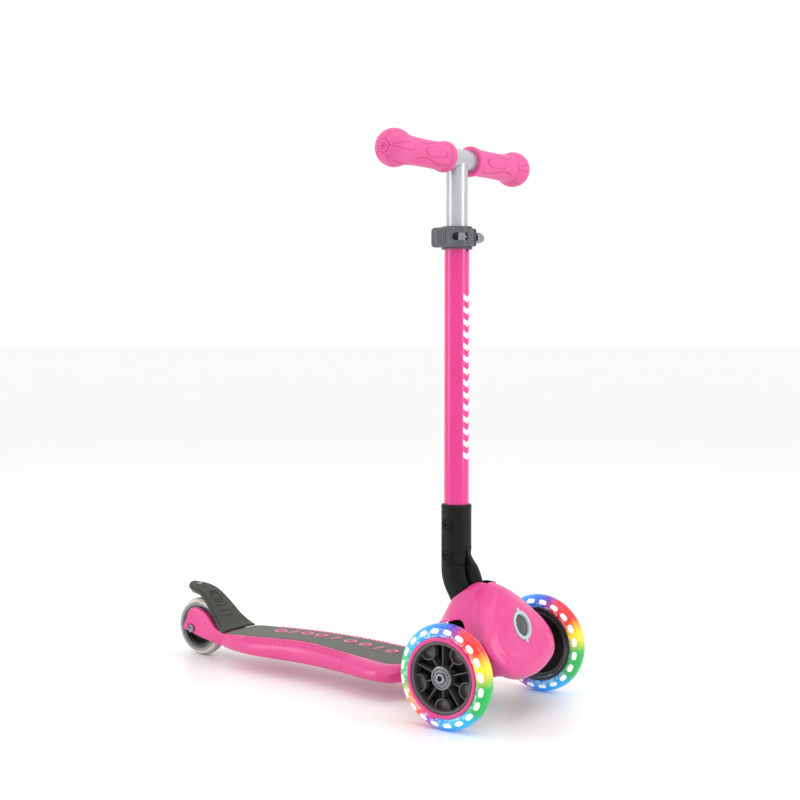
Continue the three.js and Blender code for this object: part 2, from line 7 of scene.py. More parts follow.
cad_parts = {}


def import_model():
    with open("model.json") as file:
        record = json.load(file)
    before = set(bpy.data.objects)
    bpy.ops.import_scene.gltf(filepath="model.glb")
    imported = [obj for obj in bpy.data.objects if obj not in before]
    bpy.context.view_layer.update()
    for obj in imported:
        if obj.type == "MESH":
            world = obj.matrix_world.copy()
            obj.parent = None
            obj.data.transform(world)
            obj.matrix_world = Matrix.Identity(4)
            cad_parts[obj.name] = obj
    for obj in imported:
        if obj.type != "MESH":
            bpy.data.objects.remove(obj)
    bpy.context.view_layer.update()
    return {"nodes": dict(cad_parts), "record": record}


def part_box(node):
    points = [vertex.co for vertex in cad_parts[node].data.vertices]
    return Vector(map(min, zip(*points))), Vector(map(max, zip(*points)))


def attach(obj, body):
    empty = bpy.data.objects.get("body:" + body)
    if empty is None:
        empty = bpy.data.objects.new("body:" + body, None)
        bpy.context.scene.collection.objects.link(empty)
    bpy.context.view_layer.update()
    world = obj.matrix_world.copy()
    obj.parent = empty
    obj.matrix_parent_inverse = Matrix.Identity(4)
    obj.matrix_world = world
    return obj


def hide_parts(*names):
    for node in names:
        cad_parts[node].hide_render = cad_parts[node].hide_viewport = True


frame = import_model()
nodes = frame["nodes"]
print("frame loaded")

mm = 0.001
leftTyreLow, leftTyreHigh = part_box("left_tyre")
axleX = (leftTyreLow.x + leftTyreHigh.x) / 2  # the front axle; sizes are mm from it, Z from the floor
frontWheelZ = (leftTyreLow.z + leftTyreHigh.z) / 2 / mm
frontWheelY = (leftTyreLow.y + leftTyreHigh.y) / 2 / mm
rearLow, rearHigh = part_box("rear_tyre")
rearWheelX = ((rearLow.x + rearHigh.x) / 2 - axleX) / mm
rearWheelZ = (rearLow.z + rearHigh.z) / 2 / mm
stemLow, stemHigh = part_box("stem_tube")
stemX = ((stemLow.x + stemHigh.x) / 2 - axleX) / mm
barLow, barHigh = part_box("cross_tube")
barZ = (barLow.z + barHigh.z) / 2 / mm


def point(x, y, z):
    return Vector((axleX + x * mm, y * mm, z * mm))


# camera, light and floor
cameraSettings = {"place": (848.5, -1371.5, 446.4), "turn": 35.81, "down": 2.78, "lens": 61.47}
lightSettings = {
    "left": {"place": (-1300, -1300, 900), "size": (500, 1700), "power": 9},
    "right": {"place": (1500, 300, 900), "size": (600, 1700), "power": 9},
    "above": {"place": (200, -200, 2000), "size": (1500, 1500), "power": 7},
}
floorSettings = {"half": 60000, "tone": 0.93}


def addCamera():
    s = cameraSettings
    bpy.ops.object.camera_add(location=point(*s["place"]))
    camera = bpy.context.object
    camera.rotation_euler = (math.radians(90 - s["down"]), 0, math.radians(s["turn"]))
    camera.data.lens = s["lens"]
    camera.data.clip_end = 50
    bpy.context.scene.camera = camera


def addLights():
    for name, s in lightSettings.items():
        bpy.ops.object.light_add(type="AREA", location=point(*s["place"]))
        lamp = bpy.context.object
        lamp.name = name + "Light"
        lamp.data.energy = s["power"]
        lamp.data.shape = "RECTANGLE"
        lamp.data.size, lamp.data.size_y = s["size"][0] * mm, s["size"][1] * mm
        aim = point(-150, 0, 250) - lamp.location
        lamp.rotation_euler = aim.to_track_quat("-Z", "Y").to_euler()


def deselectAll():
    if bpy.context.object and bpy.context.object.mode != "OBJECT":
        bpy.ops.object.mode_set(mode="OBJECT")
    bpy.ops.object.select_all(action="DESELECT")


def srgb(code):
    parts = [int(code[i:i + 2], 16) / 255 for i in (0, 2, 4)]
    return tuple(c / 12.92 if c < 0.04045 else ((c + 0.055) / 1.055) ** 2.4 for c in parts) + (1.0,)


# shader maths: a socket that can be written into a Python expression
class Value:
    def __init__(self, build, socket):
        self.build, self.socket = build, socket

    def maths(self, operation, first, second=None):
        inputs = {0: first} if second is None else {0: first, 1: second}
        return self.build.node("ShaderNodeMath", {"operation": operation}, inputs)

    def __add__(self, other):
        return self.maths("ADD", self, other)

    def __sub__(self, other):
        return self.maths("SUBTRACT", self, other)

    def __rsub__(self, other):
        return self.maths("SUBTRACT", other, self)

    def __mul__(self, other):
        return self.maths("MULTIPLY", self, other)

    def __truediv__(self, other):
        return self.maths("DIVIDE", self, other)

    def __gt__(self, other):
        return self.maths("GREATER_THAN", self, other)

    def __lt__(self, other):
        return self.maths("LESS_THAN", self, other)

    __radd__ = __add__
    __rmul__ = __mul__


class Finish:
    def __init__(self, name, **constants):
        self.material = bpy.data.materials.new(name)
        self.material.use_nodes = True
        self.tree = self.material.node_tree
        self.shader = self.tree.nodes["Principled BSDF"]
        for socket, value in constants.items():
            self.shader.inputs[socket.replace("_", " ")].default_value = value

    def node(self, kind, settings=None, inputs=None, output=0):
        made = self.tree.nodes.new(kind)
        for key, value in (settings or {}).items():
            if key == "stops":
                ramp = made.color_ramp
                while len(ramp.elements) > 1:
                    ramp.elements.remove(ramp.elements[-1])
                ramp.elements[0].position, ramp.elements[0].color = value[0]
                for place, colour in value[1:]:
                    ramp.elements.new(place).color = colour
            else:
                setattr(made, key, value)
        for key, value in (inputs or {}).items():
            self.connect(made.inputs[key], value)
        return Value(self, made.outputs[output])

    def connect(self, socket, value):
        if isinstance(value, Value):
            self.tree.links.new(value.socket, socket)
        else:
            socket.default_value = value

    def feed(self, name, value):
        self.connect(self.shader.inputs[name], value)

    def place(self, centre=(0, 0, 0), scale=(1, 1, 1), turn=(0, 0, 0)):
        where = self.node("ShaderNodeTexCoord", output=3)
        if centre == (0, 0, 0) and scale == (1, 1, 1) and turn == (0, 0, 0):
            return where
        moved = self.node("ShaderNodeVectorMath", {"operation": "SUBTRACT"}, {0: where, 1: centre})
        return self.node("ShaderNodeMapping", None, {0: moved, 2: turn, 3: scale})

    def axes(self, vector):
        return [self.node("ShaderNodeSeparateXYZ", None, {0: vector}, output=k) for k in range(3)]

    def noise(self, vector, size, detail=4.0, rough=0.55):
        settings = {"noise_dimensions": "3D"}
        inputs = {"Vector": vector, "Scale": 1 / (size * mm), "Detail": detail, "Roughness": rough}
        return self.node("ShaderNodeTexNoise", settings, inputs)

    def mixed(self, factor, first, second):
        settings = {"data_type": "RGBA", "clamp_factor": True}
        return self.node("ShaderNodeMix", settings, {0: factor, 6: first, 7: second}, output=2)

    def spread(self, value, low, high, newLow, newHigh):
        inputs = {0: value, 1: low, 2: high, 3: newLow, 4: newHigh}
        return self.node("ShaderNodeMapRange", {"interpolation_type": "SMOOTHSTEP"}, inputs)

    def bump(self, height, distance, strength=1.0):
        self.feed("Normal", self.node("ShaderNodeBump", None,
                                      {"Strength": strength, "Distance": distance * mm, "Height": height}))

    def attribute(self, name):
        return self.node("ShaderNodeAttribute", {"attribute_name": name}, output=2)


# one finish for each kind of surface
plasticLooks = {
    "pinkGloss": {"light": "d93b8a", "deep": "d42d7e", "rough": (0.3, 0.36), "grain": 1.4, "bump": 0.006,
                  "shine": 0.5,
                  "coat": 0.3},
    "pinkRubber": {"light": "df5b98", "deep": "d84b8d", "rough": (0.44, 0.54), "grain": 0.8, "bump": 0.03,
                   "shine": 0.45,
                   "coat": 0.0},
    "blackGrain": {"light": "0b0b0c", "deep": "060607", "rough": (0.38, 0.48), "grain": 0.7, "bump": 0.08,
                   "shine": 0.2,
                   "coat": 0.0},
    "darkGrey": {"light": "4f4e4b", "deep": "3f3e3c", "rough": (0.26, 0.38), "grain": 0.8, "bump": 0.1,
                 "shine": 0.5,
                 "coat": 0.1},
    "clampGrey": {"light": "5a5b5f", "deep": "4d4e52", "rough": (0.36, 0.48), "grain": 0.6, "bump": 0.15,
                  "shine": 0.35,
                  "coat": 0.0},
    "paleGrey": {"light": "bcc9ca", "deep": "a7b6b8", "rough": (0.3, 0.42), "grain": 0.8, "bump": 0.06,
                 "shine": 0.4,
                 "coat": 0.1},
    "smoke": {"light": "2b3036", "deep": "101215", "rough": (0.1, 0.22), "grain": 3.0, "bump": 0.1,
              "shine": 0.5,
              "coat": 0.5},
    "fenderGrey": {"light": "484a43", "deep": "3b3d37", "rough": (0.5, 0.62), "grain": 0.6, "bump": 0.25,
                   "shine": 0.25,
                   "coat": 0.0},
    "bumperRubber": {"light": "171717", "deep": "0b0b0b", "rough": (0.6, 0.75), "grain": 0.6,
                     "bump": 0.25, "shine": 0.3,
                     "coat": 0.0},
}
# painted shade: darker colours put into the grooves, mixed in by each piece's groove attribute
grooveShadeTints = {"pinkGloss": "c01468", "pinkRubber": "b80c62", "fenderGrey": "23251f"}
metalLooks = {
    "chrome": {"light": "a9abae", "deep": "7c7f83", "rough": (0.06, 0.16)},
    "steel": {"light": "94979a", "deep": "676a6e", "rough": (0.2, 0.36)},
    "springSteel": {"light": "8f9296", "deep": "5f6266", "rough": (0.22, 0.4)},
    "blackScrew": {"light": "303133", "deep": "17181a", "rough": (0.22, 0.36)},
}
looks = {}


def makePlastic(name, s):
    look = Finish(name, Coat_Weight=s["coat"], Coat_Roughness=0.15, Specular_IOR_Level=s["shine"])
    where = look.place()
    toneWithGrooveShade = look.mixed(look.noise(where, 30, 2), srgb(s["deep"]), srgb(s["light"]))
    if name in grooveShadeTints:
        # painted shade: the base colour darkens where the groove attribute marks a groove
        toneWithGrooveShade = look.mixed(look.attribute("groove"), toneWithGrooveShade, srgb(grooveShadeTints[name]))
    look.feed("Base Color", toneWithGrooveShade)
    look.feed("Roughness", look.spread(look.noise(where, 7, 3), 0.3, 0.7, *s["rough"]))
    look.bump(look.noise(where, s["grain"], 2), 0.02, s["bump"])
    looks[name] = look.material


def makeMetal(name, s):
    look = Finish(name, Metallic=1.0)
    where = look.place()
    fine = look.noise(where, 1.2, 5)
    look.feed("Base Color", look.mixed(look.noise(where, 9, 3), srgb(s["deep"]), srgb(s["light"])))
    look.feed("Roughness", look.spread(fine, 0.3, 0.7, *s["rough"]))
    look.bump(fine, 0.01, 0.3)
    looks[name] = look.material


def makeWhiteTube():  # satin white-silver anodising
    look = Finish("whiteAluminium", Metallic=0.5, Coat_Weight=0.3)
    where = look.place()
    lines = look.noise(where, 30, 2)
    look.feed("Base Color", look.mixed(lines, srgb("b2b4b7"), srgb("bcbec1")))
    look.feed("Roughness", look.spread(lines, 0.3, 0.7, 0.24, 0.34))
    looks["whiteAluminium"] = look.material


tubeMarks = {"low": 295, "high": 498, "count": 14, "halfWidth": 6.4, "slope": 0.62, "stroke": 0.46}


def makeStemPaint():  # pink powder coat with a plain column of white chevrons
    s = tubeMarks
    look = Finish("stemPaint", Coat_Weight=0.35, Coat_Roughness=0.12, Specular_IOR_Level=0.5)
    where = look.place(centre=(axleX + stemX * mm, 0, 0))
    x, y, z = look.axes(where)
    pitch = (s["high"] - s["low"]) / s["count"] * mm
    across = look.node("ShaderNodeMath", {"operation": "ABSOLUTE"}, {0: y})
    folded = (z - s["low"] * mm - across * s["slope"]) / pitch
    row = look.node("ShaderNodeMath", {"operation": "FRACT"}, {0: folded + 1})
    inColumn = (folded > 0) * (folded < s["count"]) * (x > 0)
    inner = look.spread(across, (s["halfWidth"] - 0.15) * mm, s["halfWidth"] * mm, 1, 0)
    mark = (row < s["stroke"]) * inColumn * inner
    pink = look.mixed(look.noise(where, 30, 2), srgb("d81f7e"), srgb("df2d89"))
    look.feed("Base Color", look.mixed(mark, pink, srgb("e9e6e8")))
    look.feed("Roughness", look.spread(look.noise(where, 6, 3), 0.3, 0.7, 0.24, 0.34) + mark * 0.12)
    look.bump(mark * 2, 0.012, 0.1)
    looks["stemPaint"] = look.material


def makeGripMat():                                     # woven-looking moulded grid, 3 mm pitch
    look = Finish("gripMat", Specular_IOR_Level=0.25)
    where = look.place()
    x, y, _ = look.axes(where)
    cell = 3 * mm
    waves = []
    for value in (x, y):
        turned = look.node("ShaderNodeMath", {"operation": "SINE"}, {0: value * (2 * math.pi / cell)})
        waves.append(turned * 0.5 + 0.5)
    grid = look.node("ShaderNodeMath", {"operation": "MINIMUM"}, {0: waves[0], 1: waves[1]})
    worn = look.noise(where, 18, 4)
    tone = look.mixed(worn, srgb("7b7e74"), srgb("888b81"))
    look.feed("Base Color", look.mixed(look.spread(grid, 0.05, 0.5, 0, 1), srgb("555850"), tone))
    look.feed("Roughness", look.spread(worn, 0.3, 0.7, 0.7, 0.85))
    look.bump(grid, 0.35)
    looks["gripMat"] = look.material


rainbow = [("2a6fd6", 0.0), ("5a3fb0", 0.035), ("d2203a", 0.075), ("ff2a10", 0.15), ("f6d21c", 0.2),
           ("18a84a", 0.26),
           ("0ca650", 0.35), ("18a8f0", 0.4), ("1a9cf2", 0.5), ("8a3fc0", 0.55), ("ff4a22",
                                                                                  0.6), ("ff8a30", 0.66),
           ("2fae4c", 0.72), ("35b860", 0.8), ("28a8f2", 0.86), ("1c90ee", 0.95), ("2a6fd6", 1.0)]
tyreGlow = {"dashes": 20, "dashRadius": 53.4, "dashLong": 5.2, "dashWide": 2.5, "strength": 0.25}


def makeLitTyre():  # clear polyurethane lit from inside in a ring of colours
    s = tyreGlow
    look = Finish("litTyre", Coat_Weight=0.35, Coat_Roughness=0.08, IOR=1.45,
                  Emission_Strength=s["strength"])
    where = look.place(centre=(axleX, 0, frontWheelZ * mm))
    x, _, z = look.axes(where)
    turn = look.node("ShaderNodeMath", {"operation": "ARCTAN2"}, {0: x, 1: z}) / (2 * math.pi)
    turn = look.node("ShaderNodeMath", {"operation": "FRACT"}, {0: turn + 1})
    wobble = look.noise(where, 12, 3)
    stops = [(place, srgb(code)) for code, place in rainbow]
    colour = look.node("ShaderNodeValToRGB", {"stops": stops}, {0: turn + (wobble - 0.5) * 0.02})
    radius = look.node("ShaderNodeMath", {"operation": "SQRT"}, {0: x * x + z * z}) / mm
    step = look.node("ShaderNodeMath", {"operation": "FRACT"}, {0: turn * s["dashes"]})
    arc = 2 * math.pi * s["dashRadius"] / s["dashes"]
    along = (step - 0.5) * (arc / s["dashLong"])
    aside = (radius - s["dashRadius"]) / s["dashWide"]
    reach = along * along * along * along + aside * aside
    dash = look.spread(reach, 0.55, 1.5, 1, 0)
    pale = look.spread(look.noise(where, 5, 3), 0.42, 0.66, 0, 0.5) * look.spread(radius, 46, 56, 1, 0)
    clear = look.mixed(pale, colour, srgb("dff2fb"))
    lit = look.mixed(dash, clear, srgb("ffffff"))
    look.feed("Base Color", lit)
    look.feed("Emission Color", lit)
    look.feed("Roughness", look.spread(wobble, 0.3, 0.7, 0.06, 0.18))
    look.bump(look.noise(where, 3, 2), 0.03, 0.4)
    looks["litTyre"] = look.material


def makeSmokyTyre():  # smoky polyurethane with a painted cream highlight band
    look = Finish("smokyTyre", Transmission_Weight=0.15, IOR=1.42, Coat_Weight=0.5, Coat_Roughness=0.06)
    where = look.place(centre=(axleX + rearWheelX * mm, 0, rearWheelZ * mm))
    x, _, z = look.axes(where)
    radius = look.node("ShaderNodeMath", {"operation": "SQRT"}, {0: x * x + z * z}) / mm
    cloud = look.noise(where, 14, 3)
    inner = look.mixed(cloud, srgb("82858c"), srgb("9a9c9f"))
    core = look.mixed(look.spread(radius, 28.5, 31, 0, 1), srgb("2c2d30"), inner)
    # painted highlight: a cream band from about 34 mm out to about 38 mm radius
    creamHighlightBand = look.mixed(look.spread(radius, 33, 35, 0, 1), core, srgb("e6ddcc"))
    look.feed("Base Color", look.mixed(look.spread(radius, 37.6, 38.8, 0, 1), creamHighlightBand, srgb("aeb0b2")))
    look.feed("Roughness", look.spread(cloud, 0.3, 0.7, 0.08, 0.2))
    look.bump(look.noise(where, 4, 2), 0.03, 0.4)
    looks["smokyTyre"] = look.material


def makeFloor():
    look = Finish("paleFloor", Roughness=0.32)
    where = look.place()
    tone = floorSettings["tone"]
    look.feed("Base Color", look.mixed(look.noise(where, 900, 2), (tone, tone, tone, 1),
                                       (tone + 0.02,) * 3 + (1,)))
    looks["paleFloor"] = look.material


def makeLooks():
    for name, s in plasticLooks.items():
        makePlastic(name, s)
    for name, s in metalLooks.items():
        makeMetal(name, s)
    makeWhiteTube()
    makeStemPaint()
    makeGripMat()
    makeLitTyre()
    makeSmokyTyre()
    makeFloor()
    print("finishes made:", len(looks))


# modelling helpers
def named(name):
    piece = bpy.context.object
    piece.name = name
    piece.data.name = name
    return piece


def axisFrame(axis):
    a = Vector(axis).normalized()
    u = a.orthogonal().normalized() if abs(a.y) < 0.9 else Vector((1, 0, 0))
    u = (u - a * u.dot(a)).normalized()
    return a, u, a.cross(u)


def ringLoft(name, rings):
    deselectAll()
    count = len(rings[0])
    bpy.ops.mesh.primitive_circle_add(vertices=count, radius=0.01)
    piece = named(name)
    bpy.ops.object.mode_set(mode="EDIT")
    bpy.ops.mesh.select_all(action="SELECT")
    mesh = bmesh.from_edit_mesh(piece.data)
    order = mesh.verts.layers.int.new("order")
    for k, vertex in enumerate(mesh.verts):
        vertex[order] = k
        vertex.co = rings[0][k]
    for ring in rings[1:]:
        bpy.ops.mesh.extrude_edges_move()
        mesh = bmesh.from_edit_mesh(piece.data)
        order = mesh.verts.layers.int["order"]
        mesh.verts.ensure_lookup_table()
        for vertex in mesh.verts[-count:]:
            vertex.co = ring[vertex[order]]
    bmesh.update_edit_mesh(piece.data)
    tidyShell()
    return piece


def tidyShell(merge=0.004):
    bpy.ops.mesh.select_all(action="SELECT")
    bpy.ops.mesh.remove_doubles(threshold=merge * mm)
    bpy.ops.mesh.normals_make_consistent(inside=False)
    bpy.ops.object.mode_set(mode="OBJECT")


def turnedPiece(name, profile, centre, axis, segments=64, closed=False):
    a, u, v = axisFrame(axis)
    start = point(*centre)
    if closed:
        profile = list(profile) + [profile[0]]
    rings = []
    for radius, height in profile:
        ring = []
        for k in range(segments):
            angle = 2 * math.pi * k / segments
            ring.append(start + a * height * mm + (u * math.cos(angle) + v * math.sin(angle)) * radius * mm)
        rings.append(ring)
    return ringLoft(name, rings)


def platePiece(name, outline, depth):
    deselectAll()
    bpy.ops.mesh.primitive_circle_add(vertices=len(outline), radius=0.01, fill_type="NGON")
    piece = named(name)
    for vertex, place in zip(piece.data.vertices, outline):
        vertex.co = place
    bpy.ops.object.mode_set(mode="EDIT")
    bpy.ops.mesh.select_all(action="SELECT")
    bpy.ops.mesh.extrude_region_move(TRANSFORM_OT_translate={"value": depth})
    tidyShell()
    return piece


def blockPiece(name, low, high):
    deselectAll()
    middle = point(*[(a + b) / 2 for a, b in zip(low, high)])
    bpy.ops.mesh.primitive_cube_add(size=1, location=middle)
    piece = named(name)
    piece.scale = [(b - a) * mm for a, b in zip(low, high)]
    bpy.ops.object.transform_apply(location=True, rotation=True, scale=True)
    return piece


def applyAll(piece):
    deselectAll()
    piece.select_set(True)
    bpy.context.view_layer.objects.active = piece
    for modifier in list(piece.modifiers):
        bpy.ops.object.modifier_apply(modifier=modifier.name)


def bevelEdges(piece, width, segments=2, angle=32):
    modifier = piece.modifiers.new("Bevel", "BEVEL")
    modifier.width = width * mm
    modifier.segments = segments
    modifier.limit_method = "ANGLE"
    modifier.angle_limit = math.radians(angle)
    modifier.use_clamp_overlap = True
    applyAll(piece)
    return piece


def cutAway(piece, cutters):
    for cutter in cutters:
        modifier = piece.modifiers.new("Cut", "BOOLEAN")
        modifier.operation = "DIFFERENCE"
        modifier.solver = "EXACT"
        modifier.object = cutter
        applyAll(piece)
        bpy.data.objects.remove(cutter)
    return piece


def joined(name, pieces):
    deselectAll()
    for piece in pieces:
        piece.select_set(True)
    bpy.context.view_layer.objects.active = pieces[0]
    bpy.ops.object.join()
    return named(name)


def turnedCopy(piece, name, centre, axis, degrees):
    copy = piece.copy()
    copy.data = piece.data.copy()
    copy.name = copy.data.name = name
    bpy.context.scene.collection.objects.link(copy)
    middle = Matrix.Translation(point(*centre))
    copy.data.transform(middle @ Matrix.Rotation(math.radians(degrees), 4, axis) @ middle.inverted())
    return copy


def finishPiece(piece, body, look, replaces=(), angle=35):
    deselectAll()
    piece.select_set(True)
    bpy.context.view_layer.objects.active = piece
    bpy.ops.object.shade_smooth_by_angle(angle=math.radians(angle))
    piece.data.materials.clear()
    for name in ([look] if isinstance(look, str) else look):
        piece.data.materials.append(looks[name])
    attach(piece, body)
    if replaces:
        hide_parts(*replaces)
    return piece


def arcPoints(centre, radius, start, end, count):
    steps = [math.radians(start + (end - start) * k / count) for k in range(count + 1)]
    return [(centre[0] + radius * math.cos(a), centre[1] + radius * math.sin(a)) for a in steps]


def smoothRow(rows, value):
    for k in range(len(rows) - 1):
        if value <= rows[k + 1][0] or k == len(rows) - 2:
            break
    p0, p1 = rows[max(k - 1, 0)], rows[k]
    p2, p3 = rows[k + 1], rows[min(k + 2, len(rows) - 1)]
    span = p2[0] - p1[0]
    t = min(max((value - p1[0]) / span, 0), 1)
    result = []
    for i in range(1, len(p1)):
        m1 = (p2[i] - p0[i]) / (p2[0] - p0[0]) * span
        m2 = (p3[i] - p1[i]) / (p3[0] - p1[0]) * span
        h = (2 * t ** 3 - 3 * t ** 2 + 1, t ** 3 - 2 * t ** 2 + t, -2 * t ** 3 + 3 * t ** 2,
             t ** 3 - t ** 2)
        result.append(h[0] * p1[i] + h[1] * m1 + h[2] * p2[i] + h[3] * m2)
    return result


def step(value, low, high):
    t = min(max((value - low) / (high - low), 0), 1)
    return t * t * (3 - 2 * t)


def bezier(t, start, a, b, end):
    return (1 - t) ** 3 * start + 3 * t * (1 - t) ** 2 * a + 3 * t * t * (1 - t) * b + t ** 3 * end


def groovePulse(distance, width):
    return max(0.0, 1 - (distance / width) ** 2) if abs(distance) < width else 0.0


# front wheels
wheelSettings = {"rimOuter": 41.1, "rimInner": 36.9, "hub": 12.8, "spokes": 5, "bowRadius": 9.6,
                 "bowCentre": 34.0,
                 "wall": 1.6, "spokeLow": -1.0, "spokeHigh": 7.5, "tabTurn": 15}


def wheelCentre(side):
    return (0, side * frontWheelY, frontWheelZ)


def frontTyre(side, name):
    arc = arcPoints((48.6, 0), 11.9, -86, 86, 28)
    outer = [(r, y) for r, y in arc]
    profile = [(41.6, -8.6), (46.1, -8.6), (46.4, -10.4)] + outer + [(46.4, 10.4), (46.1, 8.6), (41.6, 8.6)]
    tyre = turnedPiece(side + "Tyre", profile, wheelCentre(name), (0, 1, 0), 128, closed=True)
    finishPiece(tyre, side + "_wheel", "litTyre", [side + "_tyre"], 50)


def spokeBar(path, wall, low, high, centre, side):
    rings = []
    for k, (x, z) in enumerate(path):
        before, after = path[max(k - 1, 0)], path[min(k + 1, len(path) - 1)]
        along = Vector((after[0] - before[0], after[1] - before[1])).normalized()
        nx, nz = -along.y * wall / 2, along.x * wall / 2
        corners = [(x + nx, low, z + nz), (x + nx * 0.8, high, z + nz * 0.8),
                   (x - nx * 0.8, high, z - nz * 0.8), (x - nx, low, z - nz)]
        rings.append([point(centre[0] + cx, centre[1] + side * cy, centre[2] + cz) for cx, cy,
                      cz in corners])
    bar = ringLoft("bar", rings)
    bpy.ops.object.mode_set(mode="EDIT")
    bpy.ops.mesh.select_all(action="DESELECT")
    bpy.ops.mesh.select_non_manifold()
    bpy.ops.mesh.edge_face_add()
    tidyShell()
    return bar


def frontCore(sideName, side):
    s = wheelSettings
    centre = wheelCentre(side)
    axis = (0, side, 0)
    rim = [(s["rimInner"], -8.4), (s["rimOuter"], -8.4), (s["rimOuter"], 11), (40.2, 11.3), (38.4, 11.3),
           (37.4, 10.2),
           (s["rimInner"], 8.6)]
    parts = [turnedPiece("rim", rim, centre, axis, 96, closed=True)]
    hub = [(11.2, -10.4), (s["hub"], -10.4), (s["hub"] + 0.6, 6), (s["hub"], 9.6), (12.2, 10.4),
           (11.2, 10.4), (11.1, 3.3), (9.8, 3.2),
           (9.8, -3.2), (11.1, -3.3)]
    parts.append(turnedPiece("hub", hub, centre, axis, 64, closed=True))
    reach = s["rimInner"] + 0.8
    straight = [(0, s["hub"] - 0.6), (0, reach)]
    inner = s["bowCentre"] - s["bowRadius"]
    stalk = [(0, s["hub"] - 0.6), (0, inner)]
    bow = [(-s["bowRadius"], reach - 0.9)] + arcPoints((0, s["bowCentre"]), s["bowRadius"], 180, 360, 18)
    bow.append((s["bowRadius"], reach - 0.9))
    single = [spokeBar(straight, s["wall"], s["spokeLow"], s["spokeHigh"], centre, side)]
    paired = [spokeBar(stalk, s["wall"], s["spokeLow"], s["spokeHigh"] - 0.6, centre, side),
              spokeBar(bow, s["wall"], s["spokeLow"], s["spokeHigh"] + 0.6, centre, side)]
    pocket = arcPoints((0, s["bowCentre"]), s["bowRadius"], 180, 360, 14)
    pocket += [(r * math.cos(math.radians(a)), r * math.sin(math.radians(a))) for r, a in
               [(38.6, 90 - 14.4 + 4.8 * k) for k in range(7)]]
    web = turnedPiece(sideName + "WheelWeb", [(13, -5), (36.7, -5), (36.7, -3), (13, -3)], centre, axis,
                      72, closed=True)
    finishPiece(web, sideName + "_wheel", "blackGrain")
    low = centre[1] + side * 1.2
    paired.append(platePiece("dish", [point(x, low, centre[2] + z) for x, z in pocket],
                             Vector((0, side * 2 * mm, 0))))
    turn = 360 / s["spokes"]
    for k in range(s["spokes"]):
        for bar in single:
            parts.append(turnedCopy(bar, "spoke", centre, "Y", turn * k))
        for bar in paired:
            parts.append(turnedCopy(bar, "spoke", centre, "Y", turn * (k + 0.5)))
    for bar in single + paired:
        bpy.data.objects.remove(bar)
    core = joined(sideName + "WheelCore", parts)
    bevelEdges(core, 0.45, 2, 40)
    finishPiece(core, sideName + "_wheel", "darkGrey", [sideName + "_wheel_core"], 40)


def frontTrim(sideName, side):
    s = wheelSettings
    centre = wheelCentre(side)
    profile = [(41.5, 9.1), (45.8, 9.1), (45.9, 11.6), (45.2, 12.2), (42.2, 12.2), (41.5, 11.6)]
    ring = turnedPiece("ring", profile, centre, (0, side, 0), 112, closed=True)
    parts = [ring]
    for turn in (s["tabTurn"], s["tabTurn"] + 180):
        low, high = sorted((centre[1] + side * 10.4, centre[1] + side * 12.1))
        tab = blockPiece("tab", (-4.5, low, frontWheelZ + 44.5), (4.5, high, frontWheelZ + 48.6))
        tab.data.transform(Matrix.Translation(point(*centre)) @ Matrix.Rotation(math.radians(turn), 4, "Y")
                           @ Matrix.Translation(point(*centre)).inverted())
        parts.append(tab)
    trim = bevelEdges(joined(sideName + "TrimRing", parts), 0.5, 2, 40)
    finishPiece(trim, sideName + "_wheel", "pinkGloss", [sideName + "_trim_ring"])
    back = [(41.5, -12.2), (45.6, -12.2), (45.9, -11.4), (45.9, -9.1), (41.5, -9.1)]
    light = turnedPiece(sideName + "LightRing", back, centre, (0, side, 0), 112, closed=True)
    bevelEdges(light, 0.4)
    finishPiece(light, sideName + "_wheel", "smoke", [sideName + "_light_ring"])


def bearingPiece(name, node, centre, axis, outward, body):
    low, high = (3.6, 10.4)
    shield = [(4.2, low), (10.9, low), (10.9, high), (9.7, high), (9.6, high - 0.5), (6.2, high - 0.5),
              (6.1, high),
              (4.2, high)]
    piece = turnedPiece(name, shield, centre, [outward * a for a in axis], 56, closed=True)
    bevelEdges(piece, 0.18)
    finishPiece(piece, body, "steel", [node])


def axleBolt(sideName, side):
    centre = wheelCentre(side)
    profile = [(0, -23), (3.7, -23), (3.8, 10.8), (6.0, 10.8), (6.1, 12.4), (5.4, 13.4), (3.2, 13.5),
               (3.0, 11.4), (0, 11.2)]
    bolt = turnedPiece(sideName + "AxleBolt", profile, centre, (0, side, 0), 56)
    bevelEdges(bolt, 0.25, 2)
    finishPiece(bolt, "truck", "chrome", [sideName + "_axle_bolt"], 30)
    hexagon = turnedPiece(sideName + "BoltSocket", [(0, 11.3), (2.9, 11.3), (2.9, 12.2), (0, 12.2)],
                          centre, (0, side, 0), 6)
    finishPiece(hexagon, "truck", "blackScrew", (), 30)
    face = turnedPiece(sideName + "HubFace", [(11.3, 10.2), (13.1, 10.2), (13.3, 10.7), (12.7, 11.1),
                                              (11.3, 11.1)],
                       centre, (0, side, 0), 56, closed=True)
    finishPiece(face, sideName + "_wheel", "steel")
    washer = turnedPiece(sideName + "HubWasher", [(7.2, 10.5), (9.4, 10.5), (9.6, 10.9), (9.2, 11.3),
                                                  (7.2, 11.3)],
                         centre, (0, side, 0), 56, closed=True)
    finishPiece(washer, "truck", "steel")


def frontWheels():
    for sideName, side in (("left", 1), ("right", -1)):
        centre = wheelCentre(side)
        frontTyre(sideName, side)
        frontCore(sideName, side)
        frontTrim(sideName, side)
        bearingPiece(sideName + "BearingOuter", sideName + "_bearing_outer", centre, (0, side, 0), 1,
                     sideName + "_wheel")
        bearingPiece(sideName + "BearingInner", sideName + "_bearing_inner", centre, (0, side, 0), -1,
                     sideName + "_wheel")
        axleBolt(sideName, side)
    print("front wheels made")


